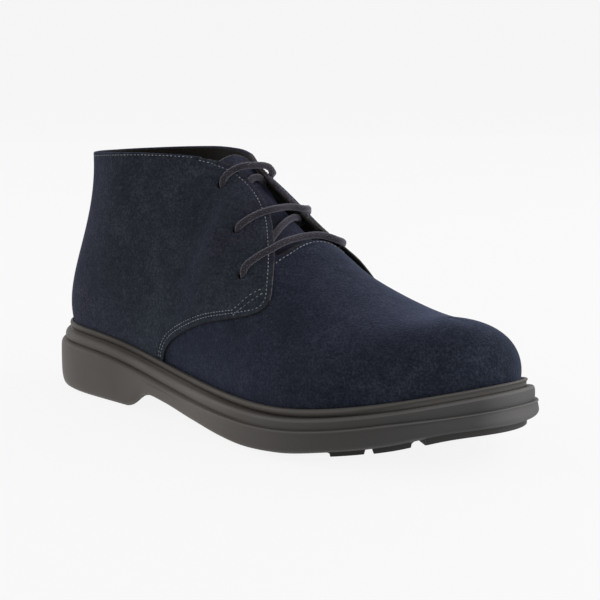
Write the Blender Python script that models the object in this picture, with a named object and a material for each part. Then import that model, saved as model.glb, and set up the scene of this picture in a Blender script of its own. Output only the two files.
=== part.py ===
"""Plain suede chukka boot for a right foot, standing empty on its sole.

Metres, +Z up. +X runs from heel to toe and +Y to the inner (medial) side of the foot.
The origin is on the floor, in the middle of the heel's ground face.

Places on the boot are given as (u, v, side). u runs from 0 at the back of the heel to 1 at the tip
of the toe. v runs up the upper: -1 at its lasting edge, hidden behind the welt, 0 at the welt's top
and 1 at the collar or on the ridge of the foot. side is LATERAL or MEDIAL.
"""

import bmesh
import bpy
import numpy as np

# Driving dimensions
SOLE_LENGTH = 0.302
BALL_WIDTH = 0.111
COLLAR_HEIGHT = 0.1225
HEEL_SEAT = 0.0335
HEEL_BACK = -0.040

# Leather and clearances
VAMP_WALL = 0.0015
QUARTER_STEP = 0.0010
TONGUE_WALL = 0.0018
TUCK = 0.0025
INSET = 0.0085
LACE_DIAMETER = 0.0034
EYELET_DIAMETER = 0.0047

# Sole
INSOLE_THICKNESS = 0.0030
INSOLE_CLEARANCE = 0.0014
INSOLE_DISH = 0.0008
LUG_SLOPE = 0.0003
WELT_FADE = 0.05

LATERAL, MEDIAL = -1, 1
SIDES = (LATERAL, MEDIAL)
NUDGE = 0.0005
WELD = 0.00001

# Widest outline of the sole: shares of the length and of the ball width, on each side of the axis.
OUTLINE_COLUMNS = ("along", "lateral", "medial")
OUTLINE = (
    (0.00, 0.000, 0.000),
    (0.04, 0.227, 0.212),
    (0.10, 0.333, 0.306),
    (0.18, 0.371, 0.342),
    (0.28, 0.386, 0.333),
    (0.40, 0.415, 0.297),
    (0.52, 0.463, 0.311),
    (0.63, 0.516, 0.387),
    (0.72, 0.535, 0.450),
    (0.80, 0.501, 0.468),
    (0.88, 0.405, 0.419),
    (0.95, 0.241, 0.302),
    (1.00, -0.036, 0.036),
)

# Height of the welt's top along the sole, as a share of the heel seat's height.
FEATHER_COLUMNS = ("along", "height")
FEATHER = (
    (0.00, 1.000),
    (0.14, 0.985),
    (0.26, 0.910),
    (0.38, 0.761),
    (0.50, 0.633),
    (0.62, 0.585),
    (0.74, 0.624),
    (0.86, 0.782),
    (0.94, 0.940),
    (1.00, 1.075),
)

# Lower edge of the sole's side wall: flat heel, curved breast, arch, ball and toe spring.
UNDERSIDE_COLUMNS = ("x", "height")
UNDERSIDE = (
    (-0.0400, 0.0000),
    (0.0460, 0.0000),
    (0.0495, 0.0005),
    (0.0530, 0.0016),
    (0.0565, 0.0034),
    (0.0600, 0.0056),
    (0.0630, 0.0073),
    (0.0660, 0.0082),
    (0.0700, 0.0086),
    (0.0840, 0.0073),
    (0.1090, 0.0037),
    (0.1370, 0.0009),
    (0.1510, 0.0004),
    (0.1770, 0.0019),
    (0.2010, 0.0054),
    (0.2260, 0.0100),
    (0.2470, 0.0160),
    (0.2620, 0.0182),
)

# Heel breast: how far its middle is set back from its ends, where the arch is highest, and more
# places along the sole where the underside bends.
BREAST_DEPTH = 0.018
ARCH_TOP = 0.070
BREAST_STATIONS = (0.0245, 0.0280, 0.0315, 0.0350, 0.0385, 0.0420)
UNDERSIDE_PARTS = 6

# Side of the sole, one row a rib or step: how far outward from the widest outline, how much of the
# way up from the underside to the feather line, how far above that, and how much higher at the toe.
RIB_COLUMNS = ("outward", "share", "lift", "toe_lift")
MIDSOLE_RIBS = (
    (-0.0100, 1.0, -0.0028, 0.0000),
    (-0.0062, 1.0, -0.0028, 0.0000),
    (-0.0052, 1.0, -0.0032, 0.0000),
    (-0.0036, 1.0, -0.0036, 0.0000),
    (-0.0026, 1.0, -0.0048, 0.0000),
    (-0.0024, 1.0, -0.0066, -0.0006),
    (-0.0030, 1.0, -0.0082, -0.0015),
)
OUTSOLE_RIBS = (
    (-0.0028, 1.0, -0.0086, -0.0015),
    (-0.0014, 1.0, -0.0089, -0.0015),
    (-0.0007, 1.0, -0.0102, -0.0015),
    (-0.0003, 0.24, 0.0000, 0.0000),
    (-0.0006, 0.14, 0.0000, 0.0000),
    (-0.0015, 0.05, 0.0000, 0.0000),
    (-0.0042, 0.0, 0.0000, 0.0000),
)
WELT_RIBS = (
    (-0.0083, 1.0, -0.0025, 0.0000),
    (-0.0081, 1.0, 0.0002, 0.0000),
    (-0.0070, 1.0, 0.0008, 0.0000),
    (-0.0058, 1.0, 0.0004, 0.0000),
    (-0.0053, 1.0, -0.0008, 0.0008),
    (-0.0058, 1.0, -0.0024, 0.0018),
)
TOE_LIFT_START = 0.225
TOE_LIFT_END = 0.262

# Tread lugs across the forefoot: where each starts and ends, how far in from the outline it stops
# and how far it stands below the side wall, down to the floor at most.
LUG_COLUMNS = ("start", "end", "inset", "height")
LUGS = (
    (0.1280, 0.1420, 0.0140, 0.0021),
    (0.1460, 0.1600, 0.0140, 0.0021),
    (0.1640, 0.1780, 0.0140, 0.0021),
    (0.1820, 0.1995, 0.0120, 0.0021),
    (0.2036, 0.2180, 0.0055, 0.0021),
    (0.2220, 0.2345, 0.0055, 0.0023),
    (0.2377, 0.2585, 0.0055, 0.0028),
)

# Cross-sections of the upper, heel to toe. top_x and top_z are shares of the sole's length (from the
# heel's back) and of the collar's height, top_half a share of the ball width. The wall leaves the
# welt leaning outward by the lean angles and arrives at the top along (arrive_x, arrive_in,
# arrive_up); low and high say how far it keeps those directions, as shares of the straight distance.
SECTION_COLUMNS = (
    "along", "top_x", "top_half", "top_z", "lean_lateral", "lean_medial", "low", "high",
    "arrive_x", "arrive_in", "arrive_up",
)
SECTIONS = (
    (0.00, 0.1020, 0.000, 0.986, 14.0, 14.0, 0.276, 0.403, -0.07, 0.00, 1.00),
    (0.04, 0.1245, 0.142, 0.989, 13.5, 13.5, 0.277, 0.403, -0.12, 0.05, 1.00),
    (0.10, 0.1735, 0.248, 0.994, 12.5, 12.5, 0.280, 0.404, -0.16, 0.08, 1.00),
    (0.18, 0.2410, 0.276, 1.000, 12.0, 13.0, 0.295, 0.397, -0.15, 0.10, 1.00),
    (0.28, 0.3240, 0.225, 1.001, 12.0, 15.0, 0.310, 0.390, -0.12, 0.15, 1.00),
    (0.36, 0.3990, 0.138, 0.989, 11.0, 15.5, 0.322, 0.360, -0.22, 0.32, 0.92),
    (0.42, 0.4460, 0.060, 0.959, 9.5, 16.0, 0.332, 0.340, -0.26, 0.62, 0.62),
    (0.50, 0.5000, 0.012, 0.876, 8.0, 15.5, 0.340, 0.330, -0.08, 0.97, 0.12),
    (0.58, 0.5630, 0.000, 0.767, 8.0, 13.5, 0.350, 0.335, 0.00, 1.00, 0.00),
    (0.66, 0.6340, 0.000, 0.650, 7.5, 10.0, 0.355, 0.350, 0.00, 1.00, 0.00),
    (0.74, 0.7060, 0.000, 0.561, 7.5, 8.5, 0.365, 0.370, 0.00, 1.00, 0.00),
    (0.82, 0.7750, 0.000, 0.499, 8.0, 8.0, 0.370, 0.430, 0.00, 1.00, 0.00),
    (0.90, 0.8305, 0.000, 0.477, 8.5, 8.5, 0.340, 0.540, -0.20, 1.00, 0.01),
    (0.96, 0.8630, 0.000, 0.484, 9.3, 9.3, 0.330, 0.600, -0.60, 0.80, 0.03),
    (1.00, 0.8745, 0.000, 0.483, 10.3, 10.3, 0.330, 0.620, -1.00, 0.00, 0.04),
)
LEVEL_COLUMNS = (
    "top_x", "top_z", "lean_lateral", "lean_medial", "low", "high", "arrive_x", "arrive_up",
)

# Front edge of the quarter, from the sole up: seam, rounded tab, facing, rounded collar corner.
# back_v is where the same row of the leather meets the back of the heel. flare is how much further
# out the edge of the medial quarter stands, where its tab lifts off the vamp.
QUARTER_COLUMNS = ("row", "u", "v", "back_v", "flare")
QUARTER_EDGE = (
    (0, 0.422, 0.000, 0.000, 0.0000),
    (1, 0.428, 0.061, 0.050, 0.0000),
    (2, 0.440, 0.128, 0.100, 0.0000),
    (3, 0.461, 0.190, 0.150, 0.0000),
    (4, 0.494, 0.252, 0.200, 0.0000),
    (5, 0.536, 0.318, 0.250, 0.0000),
    (6, 0.567, 0.380, 0.300, 0.0000),
    (7, 0.587, 0.444, 0.350, 0.0005),
    (8, 0.593, 0.510, 0.400, 0.0011),
    (9, 0.590, 0.565, 0.450, 0.0015),
    (10, 0.583, 0.632, 0.500, 0.0016),
    (11, 0.571, 0.717, 0.560, 0.0009),
    (12, 0.555, 0.797, 0.620, 0.0002),
    (13, 0.540, 0.855, 0.680, 0.0000),
    (14, 0.524, 0.896, 0.740, 0.0000),
    (15, 0.509, 0.923, 0.790, 0.0000),
    (16, 0.493, 0.943, 0.840, 0.0000),
    (17, 0.475, 0.961, 0.880, 0.0000),
    (18, 0.458, 0.976, 0.920, 0.0000),
    (19, 0.441, 0.989, 0.950, 0.0000),
    (20, 0.426, 0.997, 0.975, 0.0000),
    (21, 0.408, 1.000, 1.000, 0.0000),
)
FLARE_START = 0.86
CROSSING_ROW = 11

# Throat edge of the vamp, from the facing to the ridge. toe_v is where each row reaches the toe's
# centre line; the rows below it run on from the seam, spaced evenly.
THROAT_COLUMNS = ("row", "u", "v", "toe_v")
THROAT_EDGE = (
    (11, 0.571, 0.717, 0.640),
    (12, 0.575, 0.780, 0.720),
    (13, 0.577, 0.850, 0.790),
    (14, 0.578, 0.910, 0.860),
    (15, 0.578, 0.960, 0.930),
    (16, 0.578, 1.000, 1.000),
)

QUARTER_COLUMNS_OF_MESH = 12
VAMP_COLUMNS_OF_MESH = 16

# Tongue, from its rounded top to its end under the vamp: how far it spreads, how deep it lies, how
# far it slides up along the throat and how much more its middle does.
TONGUE_COLUMNS = ("u", "edge_v", "depth", "rise", "crown")
TONGUE = (
    (0.428, 0.975, 0.0030, 0.0040, 0.0032),
    (0.432, 0.955, 0.0038, 0.0033, 0.0024),
    (0.438, 0.930, 0.0049, 0.0024, 0.0015),
    (0.448, 0.890, 0.0059, 0.0012, 0.0006),
    (0.462, 0.810, 0.0060, 0.0004, 0.0000),
    (0.480, 0.750, 0.0060, 0.0000, 0.0000),
    (0.500, 0.705, 0.0060, 0.0000, 0.0000),
    (0.520, 0.685, 0.0060, 0.0000, 0.0000),
    (0.540, 0.675, 0.0060, 0.0000, 0.0000),
    (0.556, 0.680, 0.0060, 0.0000, 0.0000),
    (0.570, 0.705, 0.0055, 0.0000, 0.0000),
    (0.585, 0.745, 0.0042, 0.0000, 0.0000),
    (0.602, 0.790, 0.0029, 0.0000, 0.0000),
    (0.620, 0.850, 0.0021, 0.0000, 0.0000),
)
TONGUE_HALF_COLUMNS = 5
TONGUE_HIGH_U = 0.449
TONGUE_LOW_U = 0.499

# Eyelets of each pair, from the top down, as (pair, side, u, v).
EYELETS = (
    (0, -1, 0.442, 0.885),
    (0, 1, 0.442, 0.885),
    (1, -1, 0.515, 0.692),
    (1, 1, 0.504, 0.705),
    (2, -1, 0.548, 0.534),
    (2, 1, 0.538, 0.545),
)
EYELET_SIDES = 16
CUTTER_REACH = 0.0050

# Lace bars, from the medial eyelet to the lateral one, as (u, v, side, out). Side 0 is the middle
# of the throat and out is the height of the cord's centre over the vamp's outer face.
BARS = (
    (
        (0.4440, 0.912, 1, 0.0038),
        (0.4520, 0.951, 1, 0.0038),
        (0.4592, 0.985, 1, 0.0034),
        (0.4667, 1.000, 0, 0.0027),
        (0.4592, 0.985, -1, 0.0037),
        (0.4520, 0.951, -1, 0.0038),
        (0.4440, 0.912, -1, 0.0038),
    ),
    (
        (0.5060, 0.735, 1, 0.0036),
        (0.5130, 0.820, 1, 0.0032),
        (0.5215, 0.895, 1, 0.0031),
        (0.5304, 1.000, 0, 0.0012),
        (0.5322, 0.865, -1, 0.0034),
        (0.5252, 0.779, -1, 0.0037),
        (0.5190, 0.722, -1, 0.0038),
    ),
    (
        (0.5410, 0.578, 1, 0.0040),
        (0.5500, 0.690, 1, 0.0038),
        (0.5600, 0.780, 1, 0.0034),
        (0.5730, 0.898, 1, 0.0023),
        (0.5775, 1.000, 0, 0.0023),
        (0.5745, 0.880, -1, 0.0024),
        (0.5710, 0.790, -1, 0.0034),
        (0.5669, 0.714, -1, 0.0038),
        (0.5561, 0.615, -1, 0.0038),
        (0.5510, 0.566, -1, 0.0038),
    ),
)

# Heights of the cord's centre on its way out through an eyelet.
LACE_PASS = (-0.0026, 0.0004)

# Hidden runs of the lace, under the facings and over the tongue, from a free end or an eyelet on.
FIRST_RUN = (
    (0.438, 0.800, 1, -0.0038),
    (0.462, 0.700, 1, -0.0038),
    (0.496, 0.590, 1, -0.0038),
    (0.529, 0.536, 1, -0.0046),
)
LOW_LINK = (
    (0.5500, 0.580, -1, -0.0038),
    (0.5530, 0.720, -1, -0.0038),
    (0.5505, 0.833, -1, -0.0038),
    (0.5460, 0.930, -1, -0.0038),
    (0.5415, 1.000, 0, -0.0038),
    (0.5350, 0.912, 1, -0.0038),
    (0.5220, 0.800, 1, -0.0038),
    (0.5110, 0.744, 1, -0.0038),
)
HIGH_LINK = (
    (0.5080, 0.742, -1, -0.0038),
    (0.4920, 0.840, -1, -0.0038),
    (0.4760, 0.930, -1, -0.0038),
    (0.4660, 1.000, 0, -0.0038),
    (0.4600, 0.950, 1, -0.0038),
    (0.4540, 0.918, 1, -0.0038),
)
LAST_RUN = (
    (0.4390, 0.858, -1, -0.0038),
    (0.4340, 0.815, -1, -0.0038),
)
LACE_SIDES = 8
LACE_STEP = 0.0003
LACE_TURN = 20.0
LACE_REACH = 0.0060


def station(along):
    """u of a place that lies this share of the sole's length from the heel's back."""
    return np.arccos(1 - 2 * np.asarray(along, float)) / np.pi


def station_at(x):
    """u of the widest outline's point at this x."""
    return station((np.asarray(x, float) - HEEL_BACK) / SOLE_LENGTH)


def smooth_curve(knots, values, level=False):
    """Cubic spline through values at knots; its ends are level, or free of bending."""
    knots = np.asarray(knots, float)
    values = np.asarray(values, float)
    gap = np.diff(knots)
    rise = np.diff(values) / gap
    size = len(knots)
    pull = np.zeros(size)
    system = np.eye(size)
    for i in range(1, size - 1):
        system[i, i - 1:i + 2] = gap[i - 1], 2 * (gap[i - 1] + gap[i]), gap[i]
        pull[i] = 6 * (rise[i] - rise[i - 1])
    if level:
        system[0, :2] = 2 * gap[0], gap[0]
        system[-1, -2:] = gap[-1], 2 * gap[-1]
        pull[0] = 6 * rise[0]
        pull[-1] = -6 * rise[-1]
    bend = np.linalg.solve(system, pull)

    def value(at):
        at = np.clip(at, knots[0], knots[-1])
        i = np.clip(np.searchsorted(knots, at, side="right") - 1, 0, size - 2)
        b = (at - knots[i]) / gap[i]
        a = 1 - b
        curve = (a**3 - a) * bend[i] + (b**3 - b) * bend[i + 1]
        return a * values[i] + b * values[i + 1] + curve * gap[i]**2 / 6

    return value


def steady_curve(knots, values):
    """Smooth curve through values at knots that never swings past them."""
    knots = np.asarray(knots, float)
    values = np.asarray(values, float)
    gap = np.diff(knots)
    rise = np.diff(values) / gap
    slope = np.zeros(len(knots))
    same_way = rise[1:] * rise[:-1] > 0
    product = 2 * rise[1:] * rise[:-1]
    slope[1:-1][same_way] = (product[same_way] / (rise[1:] + rise[:-1])[same_way])
    slope[0] = rise[0]
    slope[-1] = rise[-1]

    def value(at):
        at = np.clip(at, knots[0], knots[-1])
        i = np.clip(np.searchsorted(knots, at, side="right") - 1, 0, len(knots) - 2)
        t = (at - knots[i]) / gap[i]
        start = (1 + 2 * t) * (1 - t)**2 * values[i] + t * (1 - t)**2 * gap[i] * slope[i]
        end = t**2 * (3 - 2 * t) * values[i + 1] - t**2 * (1 - t) * gap[i] * slope[i + 1]
        return start + end

    return value


def named(columns, rows):
    """The table's columns as arrays, by name."""
    return dict(zip(columns, np.array(rows, float).T))


def unit(vectors):
    return vectors / np.linalg.norm(vectors, axis=-1, keepdims=True)


def outline_curves():
    table = named(OUTLINE_COLUMNS, OUTLINE)
    knots = station(table["along"])
    return {
        LATERAL: smooth_curve(knots, table["lateral"]),
        MEDIAL: smooth_curve(knots, table["medial"]),
    }


def section_curves():
    table = named(SECTION_COLUMNS, SECTIONS)
    knots = station(table.pop("along"))
    curves = {name: smooth_curve(knots, row, name in LEVEL_COLUMNS) for name, row in table.items()}
    curves["top_half"] = steady_curve(knots, table["top_half"])
    return curves


OUTLINE_OF = outline_curves()
SECTION_OF = section_curves()
FEATHER_OF = smooth_curve(*named(FEATHER_COLUMNS, FEATHER).values())
UNDERSIDE_OF = steady_curve(*named(UNDERSIDE_COLUMNS, UNDERSIDE).values())


def widest(u, side):
    """Plan point (x, y) of the sole's widest outline."""
    x = HEEL_BACK + SOLE_LENGTH * (1 - np.cos(np.pi * u)) / 2
    return np.stack([x, side * BALL_WIDTH * OUTLINE_OF[side](u)], axis=-1)


def away(u, side):
    """Unit plan vector square to the outline, pointing away from the foot."""
    ahead = unit(widest(np.clip(u + NUDGE, 0, 1), side) - widest(np.clip(u - NUDGE, 0, 1), side))
    out = side * np.stack([-ahead[..., 1], ahead[..., 0]], axis=-1)
    out = np.where((u <= 0)[..., None], (-1.0, 0.0), out)
    return np.where((u >= 1)[..., None], (1.0, 0.0), out)


def feather(x):
    """Height of the welt's top at this x."""
    return HEEL_SEAT * FEATHER_OF((x - HEEL_BACK) / SOLE_LENGTH)


def eased(at, start, end):
    """0 up to start and 1 from end on, with a smooth run between."""
    t = np.clip((at - start) / (end - start), 0, 1)
    return t * t * (3 - 2 * t)


def rib_point(u, side, outward, share, lift, toe_lift=0.0):
    """Point of the sole's side; the arguments after side are a row of one of the rib tables."""
    u = np.asarray(u, float)
    plan = widest(u, side) + away(u, side) * np.asarray(outward)[..., None]
    x = plan[..., 0]
    low = UNDERSIDE_OF(x)
    z = low + share * (feather(x) - low) + lift + toe_lift * eased(x, TOE_LIFT_START, TOE_LIFT_END)
    return np.concatenate([plan, z[..., None]], axis=-1)


def shell(u, v, side):
    """Outer face of the vamp leather, carried on under the quarter and over the throat."""
    u, v = np.broadcast_arrays(np.asarray(u, float), np.asarray(v, float))
    cut = {name: curve(u) for name, curve in SECTION_OF.items()}
    out = away(u, side)
    foot = rib_point(u, side, -INSET, 1, 0)
    lean = np.radians(cut["lean_lateral" if side == LATERAL else "lean_medial"])
    leave = np.stack([out[..., 0] * np.sin(lean), out[..., 1] * np.sin(lean), np.cos(lean)], axis=-1)
    half = BALL_WIDTH * np.maximum(cut["top_half"], 0)
    top_x = HEEL_BACK + SOLE_LENGTH * cut["top_x"]
    top = np.stack([top_x, side * half, COLLAR_HEIGHT * cut["top_z"]], axis=-1)
    arrive = unit(np.stack([cut["arrive_x"], -side * cut["arrive_in"], cut["arrive_up"]], axis=-1))
    span = np.linalg.norm(top - foot, axis=-1, keepdims=True)
    low = foot + leave * span * cut["low"][..., None]
    high = top - arrive * span * cut["high"][..., None]
    t = np.clip(v, 0, 1)[..., None]
    rise = foot * (1 - t)**3 + 3 * low * t * (1 - t)**2 + 3 * high * t**2 * (1 - t) + top * t**3
    return rise + leave * TUCK * np.minimum(v, 0)[..., None]


def shell_normal(u, v, side):
    u, v = np.broadcast_arrays(np.asarray(u, float), np.asarray(v, float))
    inner_u = np.clip(u, NUDGE, 1 - NUDGE)
    inner_v = np.minimum(v, 1 - NUDGE)
    along = shell(inner_u + NUDGE, inner_v, side) - shell(inner_u - NUDGE, inner_v, side)
    up = shell(inner_u, inner_v + NUDGE, side) - shell(inner_u, inner_v - NUDGE, side)
    normal = unit(-side * np.cross(along, up))
    centre = (u <= 0) | (u >= 1) | ((v >= 1) & (SECTION_OF["top_half"](u) <= 0))
    normal[..., 1] = np.where(centre, 0, normal[..., 1])
    return unit(normal)


def layer(u, v, side, out):
    """The shell moved outward by out, with its lasting edge trimmed level with the sole's seat."""
    point = shell(u, v, side) + shell_normal(u, v, side) * np.asarray(out)[..., None]
    level = feather(shell(u, 0 * np.asarray(v), side)[..., 0]) - TUCK
    trimmed = np.broadcast_to(np.asarray(v) <= -1, level.shape)
    point[..., 2] = np.where(trimmed, level, point[..., 2])
    return point


def add_sheet(faces, grid):
    """Adds the quads of a grid of points, indexed [row, column]."""
    for low, high in zip(grid[:-1], grid[1:]):
        for k in range(len(low) - 1):
            faces.append((low[k], low[k + 1], high[k + 1], high[k]))


def solid(name, faces, colour, roughness):
    """One object from loose faces: equal corners are welded and the faces turned outward."""
    mesh = bpy.data.meshes.new(name)
    body = bmesh.new()
    for corners in faces:
        body.faces.new([body.verts.new(corner) for corner in corners])
    bmesh.ops.remove_doubles(body, verts=body.verts, dist=WELD)
    bmesh.ops.dissolve_degenerate(body, edges=body.edges, dist=WELD)
    bmesh.ops.recalc_face_normals(body, faces=body.faces)
    body.to_mesh(mesh)
    body.free()
    mesh.shade_smooth()
    mesh.set_sharp_from_angle(angle=np.radians(40))
    material = bpy.data.materials.new(name)
    material.use_nodes = True
    surface = material.node_tree.nodes["Principled BSDF"]
    surface.inputs["Base Color"].default_value = (*colour, 1)
    surface.inputs["Roughness"].default_value = roughness
    surface.inputs["Metallic"].default_value = 0
    mesh.materials.append(material)
    thing = bpy.data.objects.new(name, mesh)
    bpy.context.scene.collection.objects.link(thing)
    return thing


def quarter_flare(v, share, side):
    """Extra height of the quarter this share of the way from the heel to its front edge."""
    edge = named(QUARTER_COLUMNS, QUARTER_EDGE)
    rise = np.clip((share - FLARE_START) / (1 - FLARE_START), 0, 1)**2
    return np.interp(v, edge["v"], edge["flare"]) * rise * (side == MEDIAL)


def quarter_grid(side, out):
    """Outer or inner face of one quarter; the columns run from the back to the front edge."""
    edge = named(QUARTER_COLUMNS, QUARTER_EDGE)
    share = np.linspace(0, 1, QUARTER_COLUMNS_OF_MESH + 1)
    u = edge["u"][:, None] * share
    v = edge["back_v"][:, None] * (1 - share) + edge["v"][:, None] * share
    flare = quarter_flare(edge["v"][:, None], share, side)
    if out <= 0:
        flare = flare * (edge["row"][:, None] > CROSSING_ROW)
    u = np.vstack([u[:1], u])
    v = np.vstack([v[:1] - 1, v])
    flare = np.vstack([flare[:1], flare])
    return layer(u, v, side, out + flare)


def vamp_grid(side, out):
    """Outer or inner face of one half of the vamp; the columns run from the seam to the toe."""
    seam = named(QUARTER_COLUMNS, QUARTER_EDGE[:CROSSING_ROW])
    throat = named(THROAT_COLUMNS, THROAT_EDGE)
    left_u = np.concatenate([seam["u"], throat["u"]])
    left_v = np.concatenate([seam["v"], throat["v"]])
    even = np.linspace(0, throat["toe_v"][0], CROSSING_ROW + 1)[:-1]
    toe_v = np.concatenate([even, throat["toe_v"]])
    share = np.linspace(0, 1, VAMP_COLUMNS_OF_MESH + 1)
    u = left_u[:, None] * (1 - share) + share
    v = left_v[:, None] * (1 - share) + toe_v[:, None] * share
    u = np.vstack([u[:1], u])
    v = np.vstack([v[:1] - 1, v])
    return layer(u, v, side, out)


def make_upper():
    """Vamp and two quarters in one wall: the quarters stand a step above the vamp."""
    faces = []
    crossing = CROSSING_ROW + 1
    for side in SIDES:
        quarter = [quarter_grid(side, out) for out in (QUARTER_STEP, 0, -VAMP_WALL)]
        vamp = [vamp_grid(side, out) for out in (0, -VAMP_WALL)]
        for grid in (quarter[0], quarter[2], vamp[0], vamp[1]):
            add_sheet(faces, grid)
        add_sheet(faces, [quarter[0][:crossing + 1, -1], vamp[0][:crossing + 1, 0]])
        add_sheet(faces, [grid[crossing:, -1] for grid in quarter])
        add_sheet(faces, [grid[-1] for grid in quarter])
        add_sheet(faces, [grid[0] for grid in quarter])
        add_sheet(faces, [grid[crossing:, 0] for grid in vamp])
        add_sheet(faces, [grid[0] for grid in vamp])
    return solid("upper", faces, (0.018, 0.022, 0.035), 0.9)


def upper_stations():
    """Values of u where the upper's facets meet at its lasting edge; pieces round it share them."""
    foot = QUARTER_EDGE[0][1]
    back = np.linspace(0, foot, QUARTER_COLUMNS_OF_MESH + 1)
    front = np.linspace(foot, 1, VAMP_COLUMNS_OF_MESH + 1)
    return np.concatenate([back, front[1:]])


def add_ladder(faces, rings, across=()):
    """Closed solid from rings[side] = points [ring, station]: down one side, across, up the other."""
    add_sheet(faces, [*rings[LATERAL], *across, *rings[MEDIAL][::-1], rings[LATERAL][0]])


def rib_rings(stations, ribs):
    table = named(RIB_COLUMNS, ribs)
    rows = list(zip(*(table[name] for name in RIB_COLUMNS)))
    return {side: np.array([rib_point(stations, side, *row) for row in rows]) for side in SIDES}


def quarter_step_at(stations):
    """Extra thickness that the welt goes round: the quarter's step, fading past the seam's foot."""
    foot = QUARTER_EDGE[0][1]
    return QUARTER_STEP * (1 - np.clip((stations - foot) / WELT_FADE, 0, 1))


def make_midsole():
    faces = []
    add_ladder(faces, rib_rings(upper_stations(), MIDSOLE_RIBS))
    return solid("midsole", faces, (0.105, 0.095, 0.085), 0.5)


def arched(row, edges):
    """A row of the underside, lifted in front of the heel's breast, which curves back in the middle.

    edges[side] is the lower edge of the side wall at the same stations."""
    centre = (edges[LATERAL][:, 1] + edges[MEDIAL][:, 1]) / 2
    half = (edges[MEDIAL][:, 1] - edges[LATERAL][:, 1]) / 2
    across = (row[:, 1] - centre) / np.maximum(half, NUDGE)
    set_back = BREAST_DEPTH * np.maximum(1 - across**2, 0)
    height = UNDERSIDE_OF(np.minimum(row[:, 0] + set_back, ARCH_TOP))
    row[:, 2] = np.where(row[:, 0] < ARCH_TOP, np.maximum(row[:, 2], height), row[:, 2])
    return row


def make_outsole():
    """Lower band, heel block and tread lugs, moulded whole."""
    lugs = named(LUG_COLUMNS, LUGS)
    edges = np.concatenate([lugs["start"] - LUG_SLOPE, lugs["start"], lugs["end"], lugs["end"] + LUG_SLOPE])
    bends = np.concatenate([BREAST_STATIONS, named(UNDERSIDE_COLUMNS, UNDERSIDE)["x"][1:-1], edges])
    shared = upper_stations()
    behind, before = station_at(BREAST_STATIONS[0]), station_at(lugs["end"][-1])
    stations = np.concatenate([shared[shared < behind], station_at(bends), shared[shared > before]])
    stations = np.unique(np.round(stations, 5))
    rings = rib_rings(stations, OUTSOLE_RIBS)
    x = widest(stations, LATERAL)[:, 0]
    inset = np.interp(x, (lugs["start"] + lugs["end"]) / 2, lugs["inset"])
    height = np.zeros(len(x))
    for start, end, lug_inset, lug_height in LUGS:
        inside = (x > start - LUG_SLOPE / 2) & (x < end + LUG_SLOPE / 2)
        height[inside] = lug_height
        near = (x > start - 2 * LUG_SLOPE) & (x < end + 2 * LUG_SLOPE)
        inset[near] = lug_inset
    wall = {side: rings[side][-1] for side in SIDES}
    for side in SIDES:
        top = rib_point(stations, side, -inset, 0, 0)
        bottom = rib_point(stations, side, -inset - LUG_SLOPE, 0, 0)
        bottom[:, 2] = np.maximum(bottom[:, 2] - height, 0)
        rings[side] = np.concatenate([rings[side], [arched(top, wall), arched(bottom, wall)]])
    shares = np.linspace(0, 1, UNDERSIDE_PARTS + 1)[1:-1]
    low = [rings[side][-1] for side in SIDES]
    across = [arched(low[0] * (1 - share) + low[1] * share, wall) for share in shares]
    faces = []
    add_ladder(faces, rings, across)
    return solid("outsole", faces, (0.095, 0.088, 0.080), 0.5)


def make_welt():
    """Rounded bead that hugs the upper and stands on the midsole."""
    stations = upper_stations()
    rings = rib_rings(stations, WELT_RIBS)
    step = quarter_step_at(stations)
    faces = []
    for side in SIDES:
        for ring in (0, 1):
            rings[side][ring, :, :2] += away(stations, side) * step[:, None]
        add_sheet(faces, np.concatenate([rings[side], rings[side][:1]]))
    return solid("welt", faces, (0.115, 0.100, 0.085), 0.5)


def make_insole():
    """Footbed on the midsole, inside the upper, dished a little under the heel."""
    stations = upper_stations()
    edge = -INSET - VAMP_WALL - INSOLE_CLEARANCE
    low = -TUCK
    rows = ((edge, low + INSOLE_THICKNESS), (edge, low))
    rings = {}
    for side in SIDES:
        rings[side] = np.array([rib_point(stations, side, out, 1, lift) for out, lift in rows])
    middle = (rings[LATERAL][0] + rings[MEDIAL][0]) / 2
    middle[:, 2] -= INSOLE_DISH
    middle[0] = rings[LATERAL][0, 0]
    middle[-1] = rings[LATERAL][0, -1]
    faces = []
    add_sheet(faces, [middle, *rings[LATERAL], *rings[MEDIAL][::-1], middle])
    return solid("insole", faces, (0.020, 0.020, 0.022), 0.8)


def tongue_face(depth_more):
    """Grid of the tongue's outer face, or of its inner face when depth_more is its thickness."""
    table = named(TONGUE_COLUMNS, TONGUE)
    ahead = shell(TONGUE_HIGH_U, 1.0, LATERAL) - shell(TONGUE_LOW_U, 1.0, LATERAL)
    out = -table["depth"] - depth_more
    columns = []
    for side in SIDES:
        for share in np.linspace(0, 1, TONGUE_HALF_COLUMNS)[:-1]:
            v = table["edge_v"] * (1 - share) + share
            rise = table["rise"] + table["crown"] * (1 - (1 - share)**2)
            columns.append(layer(table["u"], v, side, out) + unit(ahead) * rise[:, None])
    halves = columns[:TONGUE_HALF_COLUMNS - 1], columns[TONGUE_HALF_COLUMNS - 1:]
    rise = unit(ahead) * (table["rise"] + table["crown"])[:, None]
    ridge = [layer(table["u"], 1.0 + 0 * table["u"], side, out) + rise for side in SIDES]
    middle = (ridge[0] + ridge[1]) / 2
    return np.array([*halves[0], middle, *halves[1][::-1]]).transpose(1, 0, 2)


def make_tongue():
    outer = tongue_face(0)
    inner = tongue_face(TONGUE_WALL)
    faces = []
    add_sheet(faces, outer)
    add_sheet(faces, inner)
    for edge in (np.s_[0], np.s_[-1], np.s_[:, 0], np.s_[:, -1]):
        add_sheet(faces, [outer[edge], inner[edge]])
    return solid("tongue", faces, (0.022, 0.022, 0.040), 0.9)


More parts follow.
